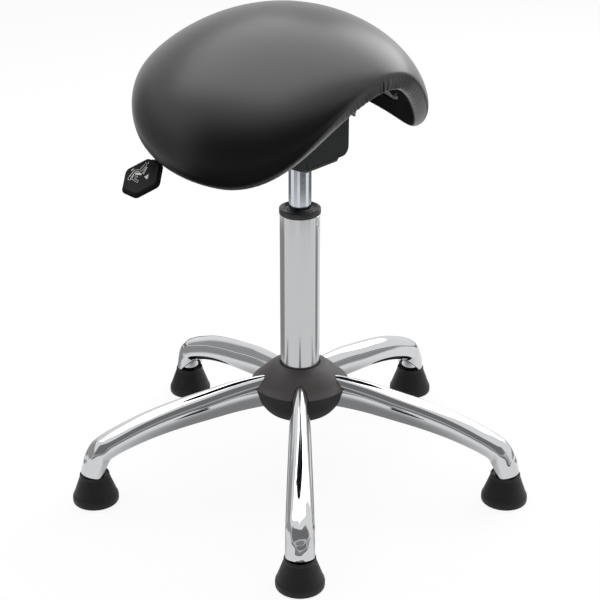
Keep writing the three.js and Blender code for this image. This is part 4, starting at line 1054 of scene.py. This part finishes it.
def casing_surface():
    """The moulded casing, open at the top, with a wall of even thickness."""
    c = CASING
    rise = 1 - np.cos(np.linspace(0, pi / 2, 12))
    outer = [casing_ring(0, c["low"] + c["round"] * r) for r in rise]
    inner = [casing_ring(c["wall"], c["low"] + c["wall"] + (c["round"] - c["wall"]) * r)
             for r in rise]
    top = [casing_ring(0, c["top"] - c["edge"]), casing_ring(c["edge"], c["top"]),
           casing_ring(c["wall"], c["top"])]
    return capped([*outer, *top, *inner[::-1]])


def casing_cutters():
    """What is cut out of the casing: a round hole for the column, one for each lever and a
    moulding slit beside each lower corner."""
    c, v = CASING, LEVER
    far = 2 * c["half"]
    cuts = [rod(c["hole"], 0, c["top"], SIDES["column_hole"])]
    for radius, place, low, high in ((v["hub_radius"], CLAMP, -far, -v["shaft"]),
                                     (v["radius"], VALVE, 0, far)):
        hole = rod(radius + 2 * GAP, low, high, SIDES["lever_hole"])
        cuts.append(placed(hole, (0, *place), FAR_AXES))
    half, past = c["slit_width"] / 2, 2
    for x in (-c["slit"], c["slit"]):
        slit = oblong((x - half, c["front"] - past), (x + half, c["front"] + c["wall"] + past), 1.0)
        cuts.append(prism(slit, c["low"] - past, c["low"] + c["slit_height"]))
    return together(*cuts)


# What a user may change

def colour_property(name, description, code):
    """A colour setting whose default is an sRGB hex code."""
    return FloatVectorProperty(name=name, description=description, subtype="COLOR", size=3,
                               min=0.0, max=1.0, default=linear(code))


def length_property(name, description, default, least, most):
    """A length setting in metres."""
    return FloatProperty(name=name, description=description, unit="LENGTH", precision=4,
                         min=least, max=most, default=default)


class StoolSaddleSettings(bpy.types.PropertyGroup):
    """Sizes and colour of the saddle's cover."""
    colour: colour_property("Leatherette", "Colour of the cover", "#09090a")
    grain: length_property("Grain", "Size of the pebbles of the cover", 0.0014, 0.0003, 0.01)
    gather_pitch: length_property(
        "Gather Pitch", "Distance between the puckers round the rim", 0.0062, 0.002, 0.05)
    gather_depth: length_property(
        "Gather Depth", "Depth of the puckers at the front of the arch", 0.0013, 0.0, 0.01)


class StoolBaseSettings(bpy.types.PropertyGroup):
    """Colours of the base."""
    hub: colour_property("Hub Dome", "Colour of the upper half of the hub cover", "#332f2e")
    # The lower half is the dome's plastic painted darker: painted shade for the underside of the
    # hub
    bowl_painted_shade: colour_property("Hub Bowl", "Colour of the lower half of the hub cover", "#131212")
    glide: colour_property("Glides", "Colour of the glides", "#0e0d0e")


class StoolColumnSettings(bpy.types.PropertyGroup):
    """Sizes of the column's details."""
    dimple: length_property("Dimple", "Depth of the dimple under the cap", 0.002, 0.0, 0.005)


class StoolLeverSettings(bpy.types.PropertyGroup):
    """Colours and sizes of the levers and the casing."""
    plastic: colour_property("Paddle Plastic", "Colour of the paddles", "#0c0d0d")
    casing: colour_property("Casing Plastic", "Colour of the casing", "#313433")
    symbol: colour_property("Symbol", "Colour of the printed symbol", "#d8d8d4")


class StoolStageSettings(bpy.types.PropertyGroup):
    """Floor, lamps and surroundings."""
    floor: colour_property("Floor", "Colour of the floor", "#fafafa")
    lamp_power: FloatProperty(
        name="Lamp Power", description="Power of the overhead lamp", default=58.0,
        min=0.0, max=500.0, unit="POWER")
    ambient: FloatProperty(
        name="Ambient", description="Strength of the light from all round", default=0.35,
        min=0.0, max=2.0)


# Operators: one for each piece or group of like pieces

class STOOL_OT_saddle(bpy.types.Operator):
    """Build the leatherette cover and the foam pad"""
    bl_idname = "stool.saddle"
    bl_label = "Saddle"

    def execute(self, context):
        settings = context.scene.stool_saddle
        surface, lining = cover_surface(settings.gather_pitch / MM, settings.gather_depth / MM)
        cover = add_piece("saddle_cover", surface, "seat", "leatherette",
                          leatherette(settings.colour, settings.grain), "seat_cover",
                          crease=PAD_CREASE, lining=lining)
        for flag in BLACK_TO_SADDLE:
            keep_dark(cover, flag)
        # The foam's charcoal colour is painted shade for the hollow under the pad
        foam = add_piece("saddle_foam", foam_surface(), "seat", "foam",
                         plain_finish("foam_painted_dark_as_shade"), "seat_foam", crease=PAD_CREASE)
        return {"FINISHED"}


class STOOL_OT_seat_frame(bpy.types.Operator):
    """Finish the moulded shell, its bolts and the steel carrier under the saddle"""
    bl_idname = "stool.seat_frame"
    bl_label = "Seat Frame"

    def execute(self, context):
        add_softened("shell_pan", "seat_shell", SOFT_EDGE["shell"], "seat", "black_plastic",
                     plain_finish("black_nylon"))
        add_softened("carrier_plate", "seat_carrier", SOFT_EDGE["steel"], "seat",
                     "black_steel", plain_finish("black_powder_coat"))
        zinc = plain_finish("zinc_plated_steel")
        for i in range(1, 5):
            add_softened(f"shell_bolt_{i}", f"seat_bolt_{i}", SOFT_EDGE["bolt"], "seat",
                         "zinc_steel", zinc)
        return {"FINISHED"}


class STOOL_OT_mechanism(bpy.types.Operator):
    """Finish the casing, bracket, shaft and clamp of the tilt mechanism"""
    bl_idname = "stool.mechanism"
    bl_label = "Tilt Mechanism"

    def execute(self, context):
        casing = add_object("casing_shell", casing_surface())
        cut_away(casing, casing_cutters())
        abs_plastic = plain_finish("moulded_grey_abs", context.scene.stool_levers.casing)
        finish_piece(casing, "lift", "grey_plastic", abs_plastic, "mechanism_casing")
        steel = plain_finish("black_powder_coat")
        add_softened("bracket_channel", "lower_bracket", SOFT_EDGE["steel"], "lift",
                     "black_steel", steel)
        dress(steel, "cone_socket")
        dress(plain_finish("zinc_plated_steel"), "tilt_shaft", "clamp_bolt")
        return {"FINISHED"}


class STOOL_OT_levers(bpy.types.Operator):
    """Build both levers, their paddles and the tilt symbol"""
    bl_idname = "stool.levers"
    bl_label = "Levers"

    def execute(self, context):
        settings = context.scene.stool_levers
        steel = plain_finish("black_powder_coat")
        plastic = plain_finish("moulded_grey_abs", settings.plastic)
        for lever, bar in (("tilt", tilt_lever_surface()), ("height", height_lever_surface())):
            add_piece(f"{lever}_lever_bar", bar, f"{lever}_lever", "black_steel", steel,
                      f"{lever}_lever_rod")
        paddle = together(paddle_surface(), socket_surface())
        for lever, side, place in (("tilt", -1, TILT_PADDLE), ("height", 1, VALVE_PADDLE)):
            add_piece(f"{lever}_paddle_skin", placed(paddle, place, paddle_axes(side)),
                      f"{lever}_lever", "grey_plastic", plastic, f"{lever}_paddle",
                      crease=PADDLE_CREASE)
        axes = paddle_axes(-1)
        face = np.array(TILT_PADDLE) + axes[2] * (
            PADDLE["thickness"] - PADDLE["recess"] - PADDLE["dish"])
        add_piece("tilt_symbol", placed(symbol_surface(), face, axes), "tilt_lever",
                  "grey_plastic", plain_finish("printed_symbol_ink", settings.symbol))
        return {"FINISHED"}


class STOOL_OT_column(bpy.types.Operator):
    """Build the outer tube, cap and gas cylinder, and finish what is inside them"""
    bl_idname = "stool.column"
    bl_label = "Column"

    def execute(self, context):
        dimple = context.scene.stool_column.dimple / MM
        add_piece("column_tube", tube_surface(dimple), "base", "chrome",
                  plain_finish("satin_chrome"), "outer_tube")
        add_piece("column_cap", bush_surface(), "base", "black_plastic",
                  plain_finish("black_nylon"), "guide_bush")
        steel = plain_finish("ground_steel")
        add_piece("cylinder_barrel", cylinder_surface(), "lift", "chrome", steel, "gas_cylinder")
        dress(plain_finish("zinc_plated_steel"), "thrust_bearing", "piston_head")
        dress(plain_finish("black_rubber"), "rubber_buffer")
        dress(steel, "piston_rod")
        dress(plain_finish("black_powder_coat"), "retaining_clip")
        dress(plain_finish("turned_brass"), "valve_pin")
        return {"FINISHED"}


class STOOL_OT_hub(bpy.types.Operator):
    """Build the two halves of the hub cover with a slot for each leg"""
    bl_idname = "stool.hub"
    bl_label = "Hub"

    def execute(self, context):
        settings = context.scene.stool_base
        slots = leg_cutters(HUB["clearance"])
        # The bowl gets the dome's plastic in a darker colour, painted shade under the hub
        for name, surface, colour, node in (
                ("hub_dome", dome_surface(), settings.hub, "hub_cover_upper"),
                ("hub_bowl", bowl_surface(), settings.bowl_painted_shade, "hub_cover_lower")):
            half = add_object(name, surface)
            cut_away(half, slots)
            finish_piece(half, "base", "hub_plastic",
                         plain_finish("moulded_hub_plastic", colour), node)
        dress(plain_finish("zinc_plated_steel"), "hub_core")
        return {"FINISHED"}


class STOOL_OT_legs(bpy.types.Operator):
    """Build the five legs with their foot sleeves"""
    bl_idname = "stool.legs"
    bl_label = "Legs"

    def execute(self, context):
        chrome = plain_finish("polished_chrome")
        leg, sleeve = leg_surface(), sleeve_surface()
        for i, angle in enumerate(LEG_ANGLES, 1):
            add_piece(f"leg_tube_{i}", turned(leg, angle), "base", "chrome", chrome, f"leg_{i}")
            add_piece(f"leg_bush_{i}", turned(sleeve, angle, (GLIDE_CIRCLE, 0, 0)), "base",
                      "chrome", chrome, f"foot_sleeve_{i}")
        return {"FINISHED"}


class STOOL_OT_glides(bpy.types.Operator):
    """Build the five glides and finish their stems"""
    bl_idname = "stool.glides"
    bl_label = "Glides"

    def execute(self, context):
        plastic = plain_finish("moulded_glide_plastic", context.scene.stool_base.glide)
        glide = glide_surface()
        for i, angle in enumerate(LEG_ANGLES, 1):
            add_piece(f"glide_foot_{i}", turned(glide, angle, (GLIDE_CIRCLE, 0, 0)), "base",
                      "black_plastic", plastic, f"glide_{i}")
        dress(plain_finish("zinc_plated_steel"),
              *(f"glide_stem_{i}" for i in range(1, LEGS + 1)))
        return {"FINISHED"}


class STOOL_OT_stage(bpy.types.Operator):
    """Build the floor, lamps, surroundings and camera"""
    bl_idname = "stool.stage"
    bl_label = "Stage"

    def execute(self, context):
        scene = context.scene
        settings = scene.stool_stage
        scene.view_settings.view_transform = "Standard"
        add_floor(settings.floor)
        add_surroundings(scene, settings.ambient)
        for name, (span, ring, heights, brightness, fade) in FLAGS.items():
            cloth = flag_cloth(f"{name}_cloth", brightness, fade)
            add_flag(name, span, ring, heights, cloth)
        add_lamps(settings.lamp_power)
        add_camera(scene)
        return {"FINISHED"}


def add_floor(colour):
    """A level sheet, just under the glides."""
    reach, low = FLOOR["reach"], FLOOR["height"]
    mesh = bpy.data.meshes.new("studio_floor")
    mesh.from_pydata([(-reach, -reach, low), (reach, -reach, low), (reach, reach, low),
                      (-reach, reach, low)], [], [(0, 1, 2, 3)])
    mesh.materials.append(studio_floor(colour))
    floor = link_new("studio_floor", mesh)


def add_surroundings(scene, ambient):
    """White all round for what the camera, metal and glass see, and a plain level of light
    from it on everything else."""
    world = bpy.data.worlds.new("studio")
    scene.world = world
    world.use_nodes = True
    tree = world.node_tree
    tree.nodes.clear()
    ray = add_node(tree, "ShaderNodeLightPath").outputs
    seen = ray["Is Camera Ray"]
    for kind in ("Is Glossy Ray", "Is Transmission Ray"):
        seen = add_node(tree, "ShaderNodeMath", {"operation": "MAXIMUM"}, {0: seen, 1: ray[kind]})
    white = add_node(tree, "ShaderNodeBackground", inputs={"Color": WHITE, "Strength": 1.0})
    plain = add_node(tree, "ShaderNodeBackground", inputs={"Color": WHITE, "Strength": ambient})
    mix = add_node(tree, "ShaderNodeMixShader", inputs={0: seen, 1: plain, 2: white})
    add_node(tree, "ShaderNodeOutputWorld", inputs={"Surface": mix})


def add_flag(name, span, ring, heights, material, steps=48):
    """A flag that only gloss sees: a band round the column between two directions, that runs
    from one distance and height to another. Its map runs from nought to one both ways, and on a
    full circle from the middle to the outer edge."""
    angle, share = np.meshgrid(np.radians(np.linspace(*span, steps + 1)), (0.0, 1.0))
    reach = ring[0] + share * (ring[1] - ring[0])
    high = heights[0] + share * (heights[1] - heights[0])
    points = np.stack([reach * np.cos(angle), reach * np.sin(angle), high], -1).reshape(-1, 3)
    first = np.arange(steps)
    faces = np.stack([first, first + 1, first + steps + 2, first + steps + 1], -1)
    mesh = bpy.data.meshes.new(name)
    mesh.from_pydata(points + COLUMN, [], faces)
    across, along = np.tile(np.linspace(0, 1, steps + 1), 2), share.reshape(-1)
    if span[1] - span[0] == 360:
        across, along = np.full_like(across, 0.5), 0.5 + along / 2
    corner = np.empty(len(mesh.loops), int)
    mesh.loops.foreach_get("vertex_index", corner)
    place = np.stack([across[corner], along[corner]], -1)
    mesh.uv_layers.new(name="place").data.foreach_set("uv", place.reshape(-1))
    mesh.materials.append(material)
    flag = link_new(name, mesh)
    flag.visible_camera = flag.visible_diffuse = flag.visible_shadow = False


def keep_dark(piece, name):
    """Keeps the light of a flag off a piece, whose gloss then sees that flag as black cloth."""
    spared = bpy.data.collections.new(f"{name}_spares")
    spared.objects.link(piece)
    spared.collection_objects[0].light_linking.link_state = "EXCLUDE"
    bpy.data.objects[name].light_linking.receiver_collection = spared


def add_lamps(lamp_power):
    """A wide soft lamp overhead, and one behind at the right that lights the far edge. Each is
    turned to its aim by the angles of the line between them."""
    for name, (place, aim, size, share) in LAMPS.items():
        lamp = bpy.data.lights.new(name, "AREA")
        lamp.shape, lamp.size, lamp.energy = "SQUARE", size, lamp_power * share
        holder = link_new(name, lamp)
        x, y, z = np.array(aim) - np.array(place)
        holder.location = place
        holder.rotation_euler = (pi / 2 - np.arctan2(-z, np.hypot(x, y)), 0, np.arctan2(-x, y))


def add_camera(scene):
    """The camera at the photograph's angle, for a square frame."""
    c = CAMERA
    lens = bpy.data.cameras.new("camera")
    lens.lens, lens.sensor_width = c["lens"], c["sensor"]
    lens.shift_y, lens.clip_end = c["shift"], c["reach"]
    camera = link_new("camera", lens)
    camera.location = COLUMN + np.array(c["place"])
    camera.rotation_euler = [radians(angle) for angle in c["turn"]]
    scene.camera = camera


class STOOL_PT_panel(bpy.types.Panel):
    """Panel that lists the pieces of the stool and their settings."""
    bl_idname = "STOOL_PT_panel"
    bl_label = "Saddle Stool"
    bl_space_type = "VIEW_3D"
    bl_region_type = "UI"
    bl_category = "Saddle Stool"

    def draw(self, context):
        for group in SETTINGS:
            settings = getattr(context.scene, group)
            box = self.layout.box()
            for name in settings.bl_rna.properties.keys():
                if name not in ("rna_type", "name"):
                    box.prop(settings, name)
        for operator in OPERATORS:
            self.layout.operator(operator.bl_idname)


SETTINGS = {
    "stool_saddle": StoolSaddleSettings, "stool_base": StoolBaseSettings,
    "stool_column": StoolColumnSettings, "stool_levers": StoolLeverSettings,
    "stool_stage": StoolStageSettings,
}
OPERATORS = (STOOL_OT_stage, STOOL_OT_saddle, STOOL_OT_seat_frame, STOOL_OT_mechanism,
             STOOL_OT_levers, STOOL_OT_column, STOOL_OT_hub, STOOL_OT_legs, STOOL_OT_glides)


def register():
    for cls in (*SETTINGS.values(), *OPERATORS, STOOL_PT_panel):
        bpy.utils.register_class(cls)
    for name, cls in SETTINGS.items():
        setattr(bpy.types.Scene, name, PointerProperty(type=cls))


def unregister():
    for name in SETTINGS:
        delattr(bpy.types.Scene, name)
    for cls in reversed((*SETTINGS.values(), *OPERATORS, STOOL_PT_panel)):
        bpy.utils.unregister_class(cls)


def main():
    """Builds every piece in order."""
    register()
    for operator in OPERATORS:
        group, name = operator.bl_idname.split(".")
        getattr(getattr(bpy.ops, group), name)()


if __name__ == "__main__":
    main()
